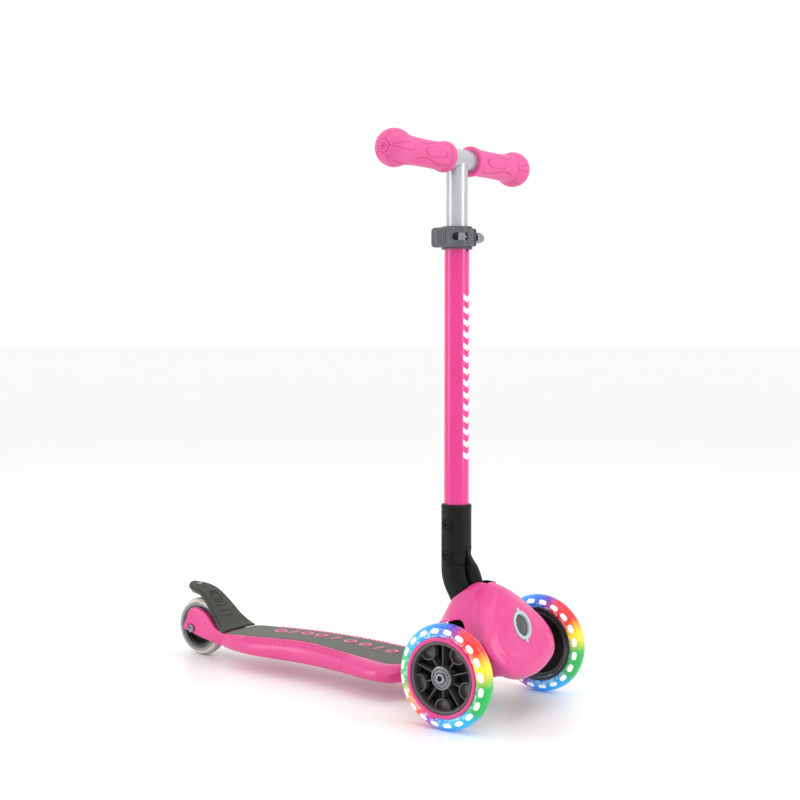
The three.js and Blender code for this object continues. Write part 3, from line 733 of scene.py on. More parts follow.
# rear wheel
def rearWheel():
    centre = (rearWheelX, 0, rearWheelZ)
    tyreArc = arcPoints((30.5, 0), 9.4, -62, 62, 24)
    outer = [(r, y * 1.25) for r, y in tyreArc]
    profile = [(25.4, -10.3), (29, -11)] + outer + [(29, 11), (25.4, 10.3)]
    tyre = turnedPiece("rearTyre", profile, centre, (0, 1, 0), 112, closed=True)
    finishPiece(tyre, "rear_wheel", "smokyTyre", ["rear_tyre"], 50)
    rim = [(11.2, -10.3), (13.4, -10.3), (14, -7), (21, -5), (22.5, -8.6), (25, -9.4), (25, 9.4),
           (22.5, 8.6), (21, 5), (14, 7),
           (13.4, 10.3), (11.2, 10.3), (11.1, 3.3), (9.8, 3.2), (9.8, -3.2), (11.1, -3.3)]
    core = turnedPiece("rearWheelCore", rim, centre, (0, 1, 0), 80, closed=True)
    bevelEdges(core, 0.4)
    finishPiece(core, "rear_wheel", "blackGrain", ["rear_wheel_core"])
    bearingPiece("rearBearingLeft", "rear_bearing_left", centre, (0, 1, 0), 1, "rear_wheel")
    bearingPiece("rearBearingRight", "rear_bearing_right", centre, (0, 1, 0), -1, "rear_wheel")
    bolt = [(0, 28.8), (3.7, 28.8), (3.7, -24.2), (5.2, -24.2), (5.4, -25.6), (4.7, -26.7), (2.8, -26.8),
            (2.6, -25.6), (0, -25.4)]
    piece = turnedPiece("rearAxleBolt", bolt, centre, (0, 1, 0), 48)
    bevelEdges(piece, 0.22)
    finishPiece(piece, "deck", "steel", ["rear_axle_bolt"])
    print("rear wheel made")


# deck: [x, half width, height] from the back to the front, as on the frame
deckSettings = {
    "rows": [[-414, 34, 43], [-390, 42, 44.5], [-350, 48.5, 46.5], [-270, 44, 50], [-205, 50.5, 47.5],
             [-140, 62, 43.5], [-118, 57, 42.5], [-106, 42, 42]],
    "mat": [[-409, 29.5, 43.2], [-395, 33.3, 44.3], [-347, 30.6, 46.7], [-275, 27.6, 50],
            [-209, 34.5, 47.7], [-160, 38, 44.6],
            [-128, 38, 42.6], [-116, 27, 42]],
    "bottom": 23, "step": 0.8, "ribs": (-372, -186), "ribPitch": 6.7, "ribSlant": 0.3, "ribHeight": 1.8,
    "pocket": 2.4, "matCorner": 13, "noseCorner": 12,
}


def matHalf(x):
    s = deckSettings
    low, high = s["mat"][0][0], s["mat"][-1][0]
    if not low <= x <= high:
        return 0
    half, corner = smoothRow(s["mat"], x)[0], s["matCorner"]
    reach = min(x - low, high - x)
    if reach < corner and x > -300:
        half -= corner - math.sqrt(corner ** 2 - (corner - reach) ** 2)
    return half


def deckRing(x):
    s = deckSettings
    half, top = smoothRow(s["rows"], x)
    matTop = smoothRow(s["mat"], min(max(x, -409), -116))[1]
    mat = matHalf(x)
    hasMat = mat > 0
    mat = mat or smoothRow(s["mat"], min(max(x, -409), -116))[0] - s["matCorner"]
    mat = min(mat, half - 5)
    nose = min(1, (x - s["rows"][0][0]) / 4, (s["rows"][-1][0] - x) / s["noseCorner"])
    right = []
    floor = matTop - s["pocket"] if hasMat else top + 0.3
    for k in range(5):
        right.append((mat * k / 4, floor))
    right.append((mat + 0.15, (floor + top) / 2))
    right.append((mat + 0.3, top - 0.15))
    ribFade = step(x, s["ribs"][0], s["ribs"][0] + 8) * step(-x, -s["ribs"][1], 8 - s["ribs"][1])
    start, end = (mat + 0.3, top - 0.1), (half - 0.6, top - 9.5)
    a, b = (mat + 0.55 * (half - mat), top + 0.6), (half - 3.2, top - 3.6)
    for k in range(20):                                # ribbed slope out to the crease along the side
        t = (k + 0.3) / 19.3
        y, z = [bezier(t, *values) for values in zip(start, a, b, end)]
        wave = 0.5 + 0.5 * math.sin(2 * math.pi * (x + y * s["ribSlant"]) / s["ribPitch"])
        inside = step(t, 0.1, 0.2) * step(-t, -0.84, -0.74)
        rib = s["ribHeight"] * (step(wave, 0.25, 0.75) - 0.5) * ribFade * inside
        right.append((y + rib * 0.6 * t, z + rib * (1 - 0.5 * t)))
    right += [(half - 0.25, top - 10.5), (half, (top - 10.5 + 31) / 2), (half, 31)]
    right += [(half - 0.4, 29), (half - 1.6, 26.4), (half - 4.2, 24.3), (half - 8, 23.1), (half - 12, 23),
              (half * 0.5, 23), (half * 0.25, 23)]
    shrink = math.sqrt(max(nose * (2 - nose), 0.05))
    middle = (top + s["bottom"]) / 2
    right = [(y * (0.9 + 0.1 * shrink), middle + (z - middle) * (0.72 + 0.28 * shrink)) for y, z in right]
    left = [(-y, z) for y, z in right[1:]]
    ring = right + [(0, middle + (23 - middle) * (0.72 + 0.28 * shrink))] + left[::-1]
    return [point(x, y, z) for y, z in ring]


def deckBoard():
    s = deckSettings
    low, high = s["rows"][0][0], s["rows"][-1][0]
    count = int((high - low) / s["step"])
    places = [low + (high - low) * k / count for k in range(count + 1)]
    places += [low + 0.3, low + 1, high - 0.3, high - 1, -409.4, -409, -116, -115.6]
    places = sorted(places)
    board = ringLoft("deckBoard", [deckRing(x) for x in places])
    capEnds(board)
    parts = [board]
    tongue = []
    for x, half, top in ([-118, 46, 41], [-109, 38, 45.5], [-100, 32, 48.7], [-80, 28.5, 48.7],
                         [-62, 27, 48.7]):
        outline = [(half, top - 4), (half - 1.2, top - 1.2), (half - 4, top), (4 - half, top),
                   (1.2 - half, top - 1.2),
                   (-half, top - 4), (6 - half, top - 13), (half - 6, top - 13)]
        tongue.append([point(x, y, z) for y, z in outline])
    shoe = ringLoft("tongue", tongue)
    capEnds(shoe)
    parts.append(bevelEdges(shoe, 1, 3, 25))
    for side in (1, -1):
        parts.append(forkArm(side))
        boss = turnedPiece("boss", [(4.1, 0), (6.5, 0), (6.5, 7), (4.1, 7)],
                           (rearWheelX, side * 10.9, rearWheelZ),
                           (0, side, 0), 40, closed=True)
        parts.append(boss)
    finishPiece(joined("deckBoard", parts), "deck", "pinkGloss", ["deck_board"], 38)
    print("deck made")


def capEnds(piece):
    deselectAll()
    piece.select_set(True)
    bpy.context.view_layer.objects.active = piece
    bpy.ops.object.mode_set(mode="EDIT")
    bpy.ops.mesh.select_all(action="DESELECT")
    bpy.ops.mesh.select_non_manifold()
    bpy.ops.mesh.edge_face_add()
    tidyShell()


armSettings = {"outer": 24.2, "inner": 16.3, "recess": 7.4, "recessDepth": 1.1}


def forkArm(side):
    s = armSettings
    upper = [(-496.5, 38.7), (-491, 49), (-484.5, 64), (-480.5, 67.8), (-475, 69.2), (-468.5, 68.8),
             (-462.6, 67.3),
             (-456.5, 65), (-451, 61.8), (-446.5, 58), (-442, 53), (-437, 47.6), (-431, 43.6), (-424, 41.6),
             (-416, 40.8), (-404, 41)]
    lower = [(-404, 24), (-412, 23.4), (-424, 23.3), (-436, 24.8), (-448, 27), (-463, 29.6), (-476, 33),
             (-486, 36),
             (-492, 36.6)]
    outline = [point(x, side * s["inner"], z) for x, z in upper + lower]
    arm = platePiece("arm", outline, Vector((0, side * (s["outer"] - s["inner"]) * mm, 0)))
    bevelEdges(arm, 2.2, 4, 60)
    hole = turnedPiece("hole", [(0, 0), (s["recess"], 0), (s["recess"] + 0.4, 5), (0, 5)],
                       (rearWheelX, side * (s["outer"] - s["recessDepth"]), rearWheelZ), (0, side, 0), 48)
    root = blockPiece("root", (-424, min(0, side * 21), 24), (-408, max(0, side * 21), 36))
    arm = cutAway(arm, [hole])
    return joined("arm", [arm, bevelEdges(root, 1, 2)])


def deckMat():
    s = deckSettings
    low, high = s["mat"][0][0] + 0.3, s["mat"][-1][0] - 0.3
    places = [low + (high - low) * k / 150 for k in range(151)] + [low + 0.15, low + 0.5, high - 0.15,
                                                                   high - 0.5]
    rings = []
    for x in sorted(places):
        half = matHalf(x) - 0.2
        top = smoothRow(s["mat"], x)[1] + 0.45
        edge = min(1, (x - low) / 0.6, (high - x) / 0.6)
        drop = 0.5 * (1 - math.sqrt(max(edge * (2 - edge), 0)))
        across = [(half * (k / 12 * 2 - 1), top + 0.45 * (1 - (k / 6 - 1) ** 2) - drop) for k in range(13)]
        across[0] = (-half + 0.6, across[0][1])
        across[12] = (half - 0.6, across[12][1])
        outline = across + [(half - 0.1, top - 0.35 - drop), (half, top - 1), (half, top - 2.3),
                            (-half, top - 2.3),
                            (-half, top - 1), (0.1 - half, top - 0.35 - drop)]
        rings.append([point(x, y, z) for y, z in outline])
    mat = ringLoft("deckMat", rings)
    capEnds(mat)
    finishPiece(mat, "deck", "gripMat", ["deck_mat"], 40)
    deckMarks()


markSettings = {"places": (-344, -322, -298, -274, -250, -226, -202, -180, -160), "y": 8.8, "half": 8,
                "height": 0.8}


def deckMarks():                                       # a plain row of raised lozenges and bars along the mat
    s = markSettings
    parts = []
    for k, x in enumerate(s["places"]):
        top = smoothRow(deckSettings["mat"], x)[1] + 0.55
        half = s["half"]
        if k % 3 == 1:
            shape = [(x - 5, -half), (x, -half), (x + 5, half), (x, half)]
        else:
            shape = [(x + 9.6 * math.cos(a * math.pi / 12),
                      half * math.sin(a * math.pi / 12)) for a in range(24)]
        tall = Vector((0, 0, (s["height"] + 0.9) * mm))
        mark = platePiece("mark", [point(px, s["y"] + py, top - 0.9) for px, py in shape], tall)
        if k % 3 != 1:
            inner = [point(x + 5.6 * math.cos(a * math.pi / 12), s["y"] + 4 * math.sin(a * math.pi / 12),
                           top - 2)
                     for a in range(24)]
            mark = cutAway(mark, [platePiece("inner", inner, 3 * tall)])
        parts.append(bevelEdges(mark, 0.25, 2, 40))
    finishPiece(joined("deckMarks", parts), "deck", "pinkGloss")


# fender brake: [x, half width, height of the top face] from the tip down to the hinge
fenderSettings = {
    "rows": [[-499, 10, 99.5], [-484, 19.4, 96], [-466.6, 19.8, 90.4], [-448, 23, 75.7], [-431.5, 27, 59],
             [-419, 32.4, 48.5], [-412, 33.5, 45.6]],
    "thick": 3.8, "crown": 1.6, "rings": 150, "across": 60, "emblem": -455,
}


def fenderGroove(x, y, half):
    s = fenderSettings
    depth = 0.9 * groovePulse(half - abs(y) - 3.6, 0.8)
    across, along = y, x - s["emblem"]
    far = math.hypot(along * 1.05, across)
    for radius in (8.6, 5.4):
        depth += 0.9 * groovePulse(far - radius, 0.7)
    if abs(across) < min(half - 7, 10) and far > 10.5:
        for k in range(3):                             # short arcs above and below the emblem
            depth += 0.7 * groovePulse(math.hypot(along + 4, across * 0.9) - 15 - 5.5 * k,
                                       0.6) * (along < -9)
            depth += 0.7 * groovePulse(math.hypot(along + 6, across * 0.8) - 18 - 6 * k, 0.6) * (along > 7)
    return depth


def fender():
    s = fenderSettings
    low, high = s["rows"][0][0], s["rows"][-1][0]
    rings = []
    for k in range(s["rings"] + 1):
        t = k / s["rings"]
        x = low + (high - low) * t
        half, top = smoothRow(s["rows"], x)
        nearTip = min(1, (x - low) / 10)
        half = half * (0.28 + 0.72 * math.sqrt(nearTip * (2 - nearTip)))
        ahead, behind = smoothRow(s["rows"], min(x + 1, high))[1], smoothRow(s["rows"], max(x - 1, low))[1]
        lean = math.atan2(ahead - behind, min(x + 1, high) - max(x - 1, low))
        edge = min(1, (x - low) / 1.9, (high - x) / 1.5)
        thick = s["thick"] * (0.3 + 0.7 * math.sqrt(max(edge * (2 - edge), 0)))
        ring = []
        for i in range(s["across"]):
            turn = 2 * math.pi * i / s["across"]
            if turn <= math.pi:
                v = -math.cos(turn)
                y = half * v
                depth = (s["thick"] - thick) * 0.5 - s["crown"] * (1 - v * v) + 1.4 * abs(v) ** 7
                depth += fenderGroove(x, y, half)
            else:
                v = math.cos(turn)
                y = half * -v * 0.93
                depth = thick + (s["thick"] - thick) * 0.5 - 0.9 * (1 - v * v)
            ring.append(point(x + math.sin(lean) * depth, y, top - math.cos(lean) * depth))
        rings.append(ring)
    skin = ringLoft("skin", rings)
    capEnds(skin)
    # groove mask for the painted shade that darkens the fender grooves
    grooves = []
    for vertex in skin.data.vertices:
        x, y = (vertex.co.x - axleX) / mm, vertex.co.y / mm
        half, top = smoothRow(s["rows"], min(max(x, low), high))
        onTop = vertex.co.z / mm > top - 2.6
        grooves.append(min(fenderGroove(x, y, half) / 0.9, 1) * onTop)
    skin.data.attributes.new("groove", "FLOAT", "POINT").data.foreach_set("value", grooves)
    pivotX, pivotZ = -425, 41
    parts = [skin]
    for start in (7, -12):
        outline = [point(pivotX + px, start, pivotZ + pz) for px, pz in
                   ((-5, 0), (-5, 13), (8, 5.5), (5, 0), (3, -4), (0, -5), (-3, -4))]
        parts.append(bevelEdges(platePiece("lug", outline, Vector((0, 5 * mm, 0))), 0.6, 2))
    finishPiece(joined("fender", parts), "brake", "fenderGrey", ["fender"], 42)
    rivet = turnedPiece("fenderRivet", [(0, -3), (2.6, -3), (2.6, 0.2), (3.8, 0.2), (3.7, 0.9),
                                        (2.6, 1.5), (0, 1.8)],
                        (-486, 0, 97.9), (-0.15, 0, 1), 40)
    finishPiece(rivet, "brake", "chrome")
    print("fender made")


# cowl: a domed shield in front, two shoulders behind it, open at the back for the stem
cowlSettings = {
    "rim": [[0, -19, 0, 151], [1, -8, 32, 135], [2, 16, 58.6, 109], [3, 31, 71.4, 87], [4, 44, 61.5, 68.6],
            [5, 49, 42, 57], [6, 52, 0, 49]],
    "normal": (0.82, 0, 0.57), "centre": (20, 0, 96), "button": (36, 0,
        105), "buttonTilt": 20.7, "floor": 54, "seat": 18.6,
    "around": 144, "shell": 0.94,
}


def rimCurve(count):
    s = cowlSettings
    rows = s["rim"]
    mirroredRows = [[-rows[1][0], rows[1][1], -rows[1][2], rows[1][3]]] + rows
    mirroredRows.append([7, rows[-2][1], -rows[-2][2], rows[-2][3]])
    half = [smoothRow(mirroredRows, 6 * k / (count // 2)) for k in range(count // 2 + 1)]
    return half + [[x, -y, z] for x, y, z in half[1:-1]][::-1]


def cowlShield(scale=1.0, shift=0.0):
    s = cowlSettings
    rim = [Vector(place) for place in rimCurve(s["around"])]
    normal, centre = Vector(s["normal"]).normalized(), Vector(s["centre"])
    button, tilt = Vector(s["button"]), math.radians(s["buttonTilt"])
    axis = Vector((math.cos(tilt), 0, math.sin(tilt)))
    rings = [[button - axis * 0.5] * len(rim)]
    for t in [k / 30 for k in range(31)]:
        ring = []
        for place in rim:
            radial = (place - centre).normalized()
            flat = (place - button) - axis * (place - button).dot(axis)
            seat = button - axis * 0.5 + flat.normalized() * s["seat"]
            reach = (place - seat).length
            a = seat + flat.normalized() * reach * 0.42 + axis * 0.4
            b = place + normal * 9.5 - radial * 3.2
            curve = seat * (1 - t) ** 3 + a * (3 * t * (1 - t) ** 2)
            curve = curve + b * (3 * t * t * (1 - t)) + place * t ** 3
            ridge = 0.9 * groovePulse(t - 0.5, 0.14)
            ring.append(curve + normal * ridge)
        rings.append(ring)
    for size, depth in ((1.0, -1.2), (0.998, -4), (0.985, -9), (0.955, -17), (0.915, -26), (0.9, -30)):
        rings.append([centre + (place - centre) * size + normal * depth for place in rim])
    rings = [[centre + (p - centre) * scale for p in ring] for ring in rings]
    shield = ringLoft("shield", [[point(*(p + Vector((shift, 0, 0)))) for p in ring] for ring in rings])
    capEnds(shield)
    return shield


shoulderRows = [
    [20.3, [(-13, 143), (-22, 142.5), (-34, 140), (-43, 134.5), (-51, 127), (-59, 113), (-64, 98),
            (-71, 79), (-76, 61), (-84, 50)]],
    [40, [(0, 121), (-9, 122.5), (-20, 122), (-33, 120), (-44, 116), (-53, 106.5), (-59, 94), (-64, 79),
          (-67, 66), (-72, 50)]],
    [56, [(14, 96), (2, 102), (-12, 106), (-24, 111), (-34, 112), (-45, 107), (-51, 99), (-55.5, 85),
          (-57, 70), (-59, 50)]],
]


def cowlShoulder(side):
    count = 40
    lines = []
    for y, places in shoulderRows:
        rows = [[k, x, z] for k, (x, z) in enumerate(places)]
        lines.append([y] + [smoothRow(rows, (len(rows) - 1) * k / count) for k in range(count + 1)])
    rings = []
    steps = [20.3 + (56 - 20.3) * k / 16 for k in range(17)]
    for y in steps + [57.2, 58.1, 58.5]:
        rounding = 0 if y <= 56 else {57.2: 0.06, 58.1: 0.18, 58.5: 0.34}[y]
        ring = []
        for k in range(count + 1):
            rows = [[line[0], *line[k + 1]] for line in lines]
            x, z = smoothRow(rows, min(y, 56))
            ring.append((x, z))
        ring += [(34, 50), (28, 92 - max(0, y - 20.3) * 0.35)]
        middle = (-20, 80)
        ring = [(middle[0] + (x - middle[0]) * (1 - rounding), middle[1] + (z - middle[1]) * (1 - rounding))
                for x, z in ring]
        rings.append([point(x, side * y, z) for x, z in ring])
    shoulder = ringLoft("shoulder", rings)
    capEnds(shoulder)
    return shoulder


browRows = [
    [7.8, [(-6, 150.5), (-12, 151.2), (-18, 151.3), (-23.4, 150.3), (-25.8, 148.6), (-26.8, 145)]],
    [14.6, [(-9, 147), (-14, 148), (-20, 148.3), (-27.9, 146.4), (-30.6, 144.6), (-32.4, 141)]],
    [21, [(-12, 142.6), (-18, 142.8), (-24, 142.4), (-34, 139.9), (-39, 137), (-43.5, 133)]],
]


def cowlBrow(side):  # between the shoulder and the notch in the shield's top
    rings = []
    for y in [7.8 + 1.2 * k for k in range(12)]:
        ring = []
        for k in range(25):
            along = []
            for start, places in browRows:
                along.append([start, *smoothRow([[j, x, z] for j, (x, z) in enumerate(places)],
                                                5 * k / 24)])
            ring.append(smoothRow(along, y))
        ring += [(ring[-1][0] + 1, ring[-1][1] - 9), (ring[0][0], ring[0][1] - 16)]
        rings.append([point(x, side * y, z) for x, z in ring])
    brow = ringLoft("brow", rings)
    capEnds(brow)
    return brow


def blackInside(piece, look="blackGrain"):
    piece.data.materials.clear()
    piece.data.materials.append(looks[look])
    return piece


def combine(piece, other, operation="DIFFERENCE"):
    modifier = piece.modifiers.new("Combine", "BOOLEAN")
    modifier.operation = operation
    modifier.solver = "EXACT"
    modifier.material_mode = "TRANSFER"
    modifier.object = other
    applyAll(piece)
    bpy.data.objects.remove(other)
    return piece


def cowl():
    s = cowlSettings

    def outerShape():
        whole = blackInside(cowlShield(), "pinkGloss")
        combine(whole, blackInside(cowlShoulder(1), "pinkGloss"), "UNION")
        combine(whole, blackInside(cowlShoulder(-1), "pinkGloss"), "UNION")
        combine(whole, blackInside(cowlBrow(1), "pinkGloss"), "UNION")
        return combine(whole, blackInside(cowlBrow(-1), "pinkGloss"), "UNION")

    whole = outerShape()
    hollow = turnedCopy(whole, "hollow", (0, 0, 0), "Y", 0)
    blackInside(hollow)
    for polygon in hollow.data.polygons:
        polygon.material_index = 0
    middle = Vector((axleX, 0, 0))
    shrink = s["shell"]
    hollow.data.transform(Matrix.Translation(middle + Vector((-1 * mm, 0, (1 - shrink) * 50 * mm)))
                          @ Matrix.Scale(shrink, 4) @ Matrix.Translation(-middle))
    combine(whole, hollow)
    cutters = [blockPiece("under", (-120, -100, 0), (38, 100, s["floor"])),
               blockPiece("slot", (-100, -20.1, 0), (-24, 20.1, 131))]
    corner = [(-36, 20.1), (-31.5, 17.8), (-28, 14.6), (-26.3, 10.5), (-24, 7)]
    plan = [(-100, -20.1)] + [(x, -y) for x, y in corner] + corner[::-1] + [(-100, 20.1)]
    cutters.append(platePiece("slotTop", [point(x, y, 123) for x, y in plan], Vector((0, 0, 60 * mm))))
    arch = [(-50, 30), (-50, 95), (-48.6, 99), (-46, 102.3), (-41.5, 105.8), (-35, 108.6), (-29, 111),
            (-24.5, 112.6),
            (-20, 113.2), (-15.6, 112), (-11.8, 109.2), (-8, 105), (-3, 97.6), (2, 90.5), (6, 83), (12,
                71), (19, 59),
            (24, 52), (26, 30)]
    for side in (1, -1):
        outline = [point(x, side * 24, z) for x, z in arch]
        cutters.append(platePiece("arch", outline, Vector((0, side * 70 * mm, 0))))
    notch = [(-32, 141), (-9, 141), (-9, 175), (-32, 175)]
    cutters.append(platePiece("notch", [point(x, -8, z) for x, z in notch], Vector((0, 16 * mm, 0))))
    tilt = math.radians(s["buttonTilt"])
    axis = (math.cos(tilt), 0, math.sin(tilt))
    for cutter in cutters:
        combine(whole, blackInside(cutter, "blackGrain"))
    bore = [(0, -14), (17.8, -14), (17.8, 14), (0, 14)]
    combine(whole, blackInside(turnedPiece("bore", bore, s["button"], axis, 96), "pinkGloss"))
    whole.name = whole.data.name = "cowl"
    modifier = whole.modifiers.new("Bevel", "BEVEL")
    modifier.width = 0.7 * mm
    modifier.segments = 3
    modifier.limit_method = "ANGLE"
    modifier.angle_limit = math.radians(38)
    modifier.material = 0
    applyAll(whole)
    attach(whole, "deck")
    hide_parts("cowl")
    deselectAll()
    whole.select_set(True)
    bpy.context.view_layer.objects.active = whole
    bpy.ops.object.shade_smooth_by_angle(angle=math.radians(40))
    print("cowl made")


def steeringLock():
    s = cowlSettings
    tilt = math.radians(s["buttonTilt"])
    axis = (math.cos(tilt), 0, math.sin(tilt))
    ring = turnedPiece("lockRing", [(12.6, -3), (17.4, -3), (17.4, 0.4), (16.7, 1.1), (14.4, 1.3),
                                    (13.3, 0.7), (12.7, -0.4)],
                       s["button"], axis, 96, closed=True)
    up = Vector((-math.sin(tilt), 0, math.cos(tilt)))
    parts = [ring]
    for way in (1, -1):
        centre = Vector(s["button"]) + up * (18.4 * way) - Vector(axis) * 0.8
        tab = turnedPiece("tab", [(0, 0), (2.6, 0), (2.6, 1.2), (2.0, 1.7), (0, 1.7)], centre, axis, 28)
        parts.append(tab)
    bevelEdges(parts[0], 0.25)
    finishPiece(joined("lockRing", parts), "deck", "paleGrey", ["lock_ring"])
    dome = [(0, -10.4), (3.4, -10.4), (3.4, -5.5), (12.1, -5.5), (12.1, -2.2), (11.4, -1.5), (9.4, -0.9),
            (6.4, -0.2), (3, 0.25), (0, 0.4)]
    button = turnedPiece("lockButton", dome, s["button"], axis, 72)
    finishPiece(button, "lock_button", "darkGrey", ["lock_button"])
    print("steering lock made")


# stem: folding neck, tube, clamp
neckSettings = {
    "path": [[190, stemX, 18.2, 18.2, 0], [176, stemX, 18.2, 18.2, 0], [166, stemX, 18.2, 18.2, 0],
             [156, -56.2, 18, 18.3, 5], [146, -53.2, 17.5, 18.2, 17], [134, -47.7, 16.6, 17, 26], [122,
                 -43.4, 15.6, 15.4, 30], [108, -40, 14.4, 12.6, 22], [100, -39, 13.6, 10, 10]],
    "top": 241.5, "foot": 173.7, "bore": 15.15, "pad": (-57.5, 199.5), "padHalf": (10.5,
                                                                                   30), "padRise": 1.5,
    "bayDepth": 1.2, "around": 160,
}


def neckRing(z, x, across, deep, lean):
    s = neckSettings
    ring = []
    for k in range(s["around"]):
        angle = 2 * math.pi * k / s["around"]
        forward, aside = deep * math.cos(angle), across * math.sin(angle)
        px, pz = x + forward * math.cos(math.radians(lean)), z + forward * math.sin(math.radians(lean))
        centreX, centreZ = s["pad"]
        halfX, halfZ = s["padHalf"]
        overZ = max(abs(pz - centreZ) - (halfZ - halfX), 0)
        reach = math.hypot(px - centreX, overZ)
        pad = s["padRise"] * (1 - step(reach, halfX - 0.5, halfX + 0.5)) if abs(aside) > 5 else 0
        overZ = max(abs(pz - 163) - 16, 0)             # a shallow bay on each side of the trigger
        bay = s["bayDepth"] * (1 - step(math.hypot(px + 36, overZ), 6.8, 8.6)) if forward > 0 else 0
        length = math.hypot(forward, aside)
        grow = 1 - bay / length
        side = math.copysign(1, aside)
        ring.append((x + (px - x) * grow, aside * grow + side * pad, z + (pz - z) * grow))
    return ring


def neck():
    s = neckSettings
    top, foot, bore = s["top"], s["foot"], s["bore"]
    rings = []
    for radius, z in ((0.4, foot), (bore, foot), (bore, top - 4), (bore, top - 0.6), (15.6, top - 0.1),
                      (16.4, top),
                      (17.4, top - 0.4), (18.1, top - 1.4), (18.5, top - 2.6), (18.5, top - 4.5)):
        rings.append([(stemX + radius * math.cos(2 * math.pi * k / s["around"]),
                       radius * math.sin(2 * math.pi * k / s["around"]), z) for k in range(s["around"])])
    z = top - 5.3
    while z > 176:
        rings.append(neckRing(z, stemX, 18.2, 18.2, 0))
        z -= 0.9
    path = [[-row[0]] + row[1:] for row in s["path"]]
    while z > 100:
        x, across, deep, lean = smoothRow(path, -z)
        rings.append(neckRing(z, x, across, deep, lean))
        z -= 1.2
    body = ringLoft("neck", [[point(*p) for p in ring] for ring in rings])
    capEnds(body)
    knuckle = turnedPiece("knuckle", [(4.3, -15), (14, -15), (15, -14), (15, 14), (14, 15), (4.3, 15)],
                          (-40, 0, 106),
                          (0, 1, 0), 56, closed=True)
    slot = [(-41.1, 189), (-41.1, 176), (-47, 174), (-47, 156), (-43, 150), (-36, 143.5), (-30, 140),
            (0, 140), (0, 189)]
    cutter = platePiece("slot", [point(x, -4.3, z) for x, z in slot], Vector((0, 8.6 * mm, 0)))
    body = cutAway(body, [cutter])
    bevelEdges(body, 0.5, 2, 50)
    finishPiece(joined("neck", [body, knuckle]), "stem", "blackGrain", ["neck"], 40)
    print("neck made")


triggerSettings = {
    "front": [[0, -38.6, 186], [1, -38, 182], [2, -34.4, 175.5], [3, -29, 169], [4, -25.2, 162],
              [5, -23, 156.5],
              [6, -21.5, 151.7]],
    "back": [(-21.8, 150), (-23, 147), (-27.5, 146.4), (-31.5, 147.2), (-35, 149.4), (-37.6, 153),
             (-39.4, 158),
             (-40.5, 163), (-40.7, 168), (-40.7, 185)],
    "teeth": 19, "bite": 0.5, "half": 3.8,
}


def foldTrigger():
    s = triggerSettings
    front = []
    for k in range(2 * s["teeth"] + 1):
        x, z = smoothRow(s["front"], 6 * k / (2 * s["teeth"]))
        bite = s["bite"] if k % 2 and k > 4 else 0
        front.append((x - bite * 0.85, z - bite * 0.5))
    outline = [point(x, -s["half"], z) for x, z in front + s["back"]]
    leaf = platePiece("foldTrigger", outline, Vector((0, 2 * s["half"] * mm, 0)))
    bevelEdges(leaf, 0.35, 2, 20)
    finishPiece(leaf, "fold_trigger", "blackGrain", ["fold_trigger"], 40)
    tab = [(-41, 184.6), (-41, 191), (-40.4, 192.6), (-39.4, 193), (-38.6, 191.8), (-38.2, 189.5),
           (-38.4, 187)]
    lip = platePiece("triggerLip", [point(x, -5.2, z) for x, z in tab], Vector((0, 10.4 * mm, 0)))
    bevelEdges(lip, 0.8, 3, 30)
    finishPiece(lip, "stem", "blackGrain")
    pin = turnedPiece("triggerPin", [(0, -9.8), (1.1, -9.8), (1.1, 9.8), (0, 9.8)], (-43, 0, 169.5),
                      (0, 1, 0), 24)
    finishPiece(pin, "stem", "blackScrew", ["trigger_pin"])


def screwHead(name, node, place, axis, radius, body, look="blackScrew", length=44):
    profile = [(0, -length), (2.7, -length), (2.8, 0), (radius - 0.5, 0), (radius, 0.5), (radius, 1.3),
               (radius - 0.7, 2.1),
               (3.2, 2.3), (2.7, 1.9), (2.5, 0.6), (0, 0.4)]
    screw = turnedPiece(name, profile, place, axis, 54)
    finishPiece(screw, body, look, [node] if node else [])


def stemTube():
    low, high = 174, 571
    profile = [(13.4, low), (14.6, low), (14.9, low + 0.4), (14.9, high - 0.4), (14.6, high), (13.4, high)]
    tube = turnedPiece("stemTube", profile, (stemX, 0, 0), (0, 0, 1), 128, closed=True)
    slit = blockPiece("slit", (stemX + 5, -1.1, 548), (stemX + 20, 1.1, high + 5))
    relief = turnedPiece("relief", [(0, 0), (2.6, 0), (2.6, 20), (0, 20)], (stemX + 5, 0, 546.5),
                         (1, 0, 0), 32)
    holes = [turnedPiece("hole", [(0, -30), (3.1, -30), (3.1, 30), (0, 30)], (stemX, 0, height),
                         (0, 1, 0), 32)
             for height in (181, 218)]
    cutAway(tube, [slit, relief] + holes)
    finishPiece(tube, "stem", "stemPaint", ["stem_tube"], 30)
    for height, label in ((181, "lower"), (218, "upper")):
        screwHead("neckBolt" + label.title(), "neck_bolt_" + label, (stemX, -18.6, height), (0, -1, 0),
                  5.3, "stem")
        rim = [(5.8, -2), (7.1, -2), (7.2, 1.3), (6.9, 1.7), (6.3, 1.7), (5.9, 1.2)]
        cup = turnedPiece("neckRecess" + label.title(), rim, (stemX, -18.6, height), (0, -1, 0), 54,
                          closed=True)
        finishPiece(cup, "stem", "blackGrain")
    print("stem tube made")


clampSettings = {"z": 560.5, "half": 13.5, "boltX": -36, "leverY": -22}


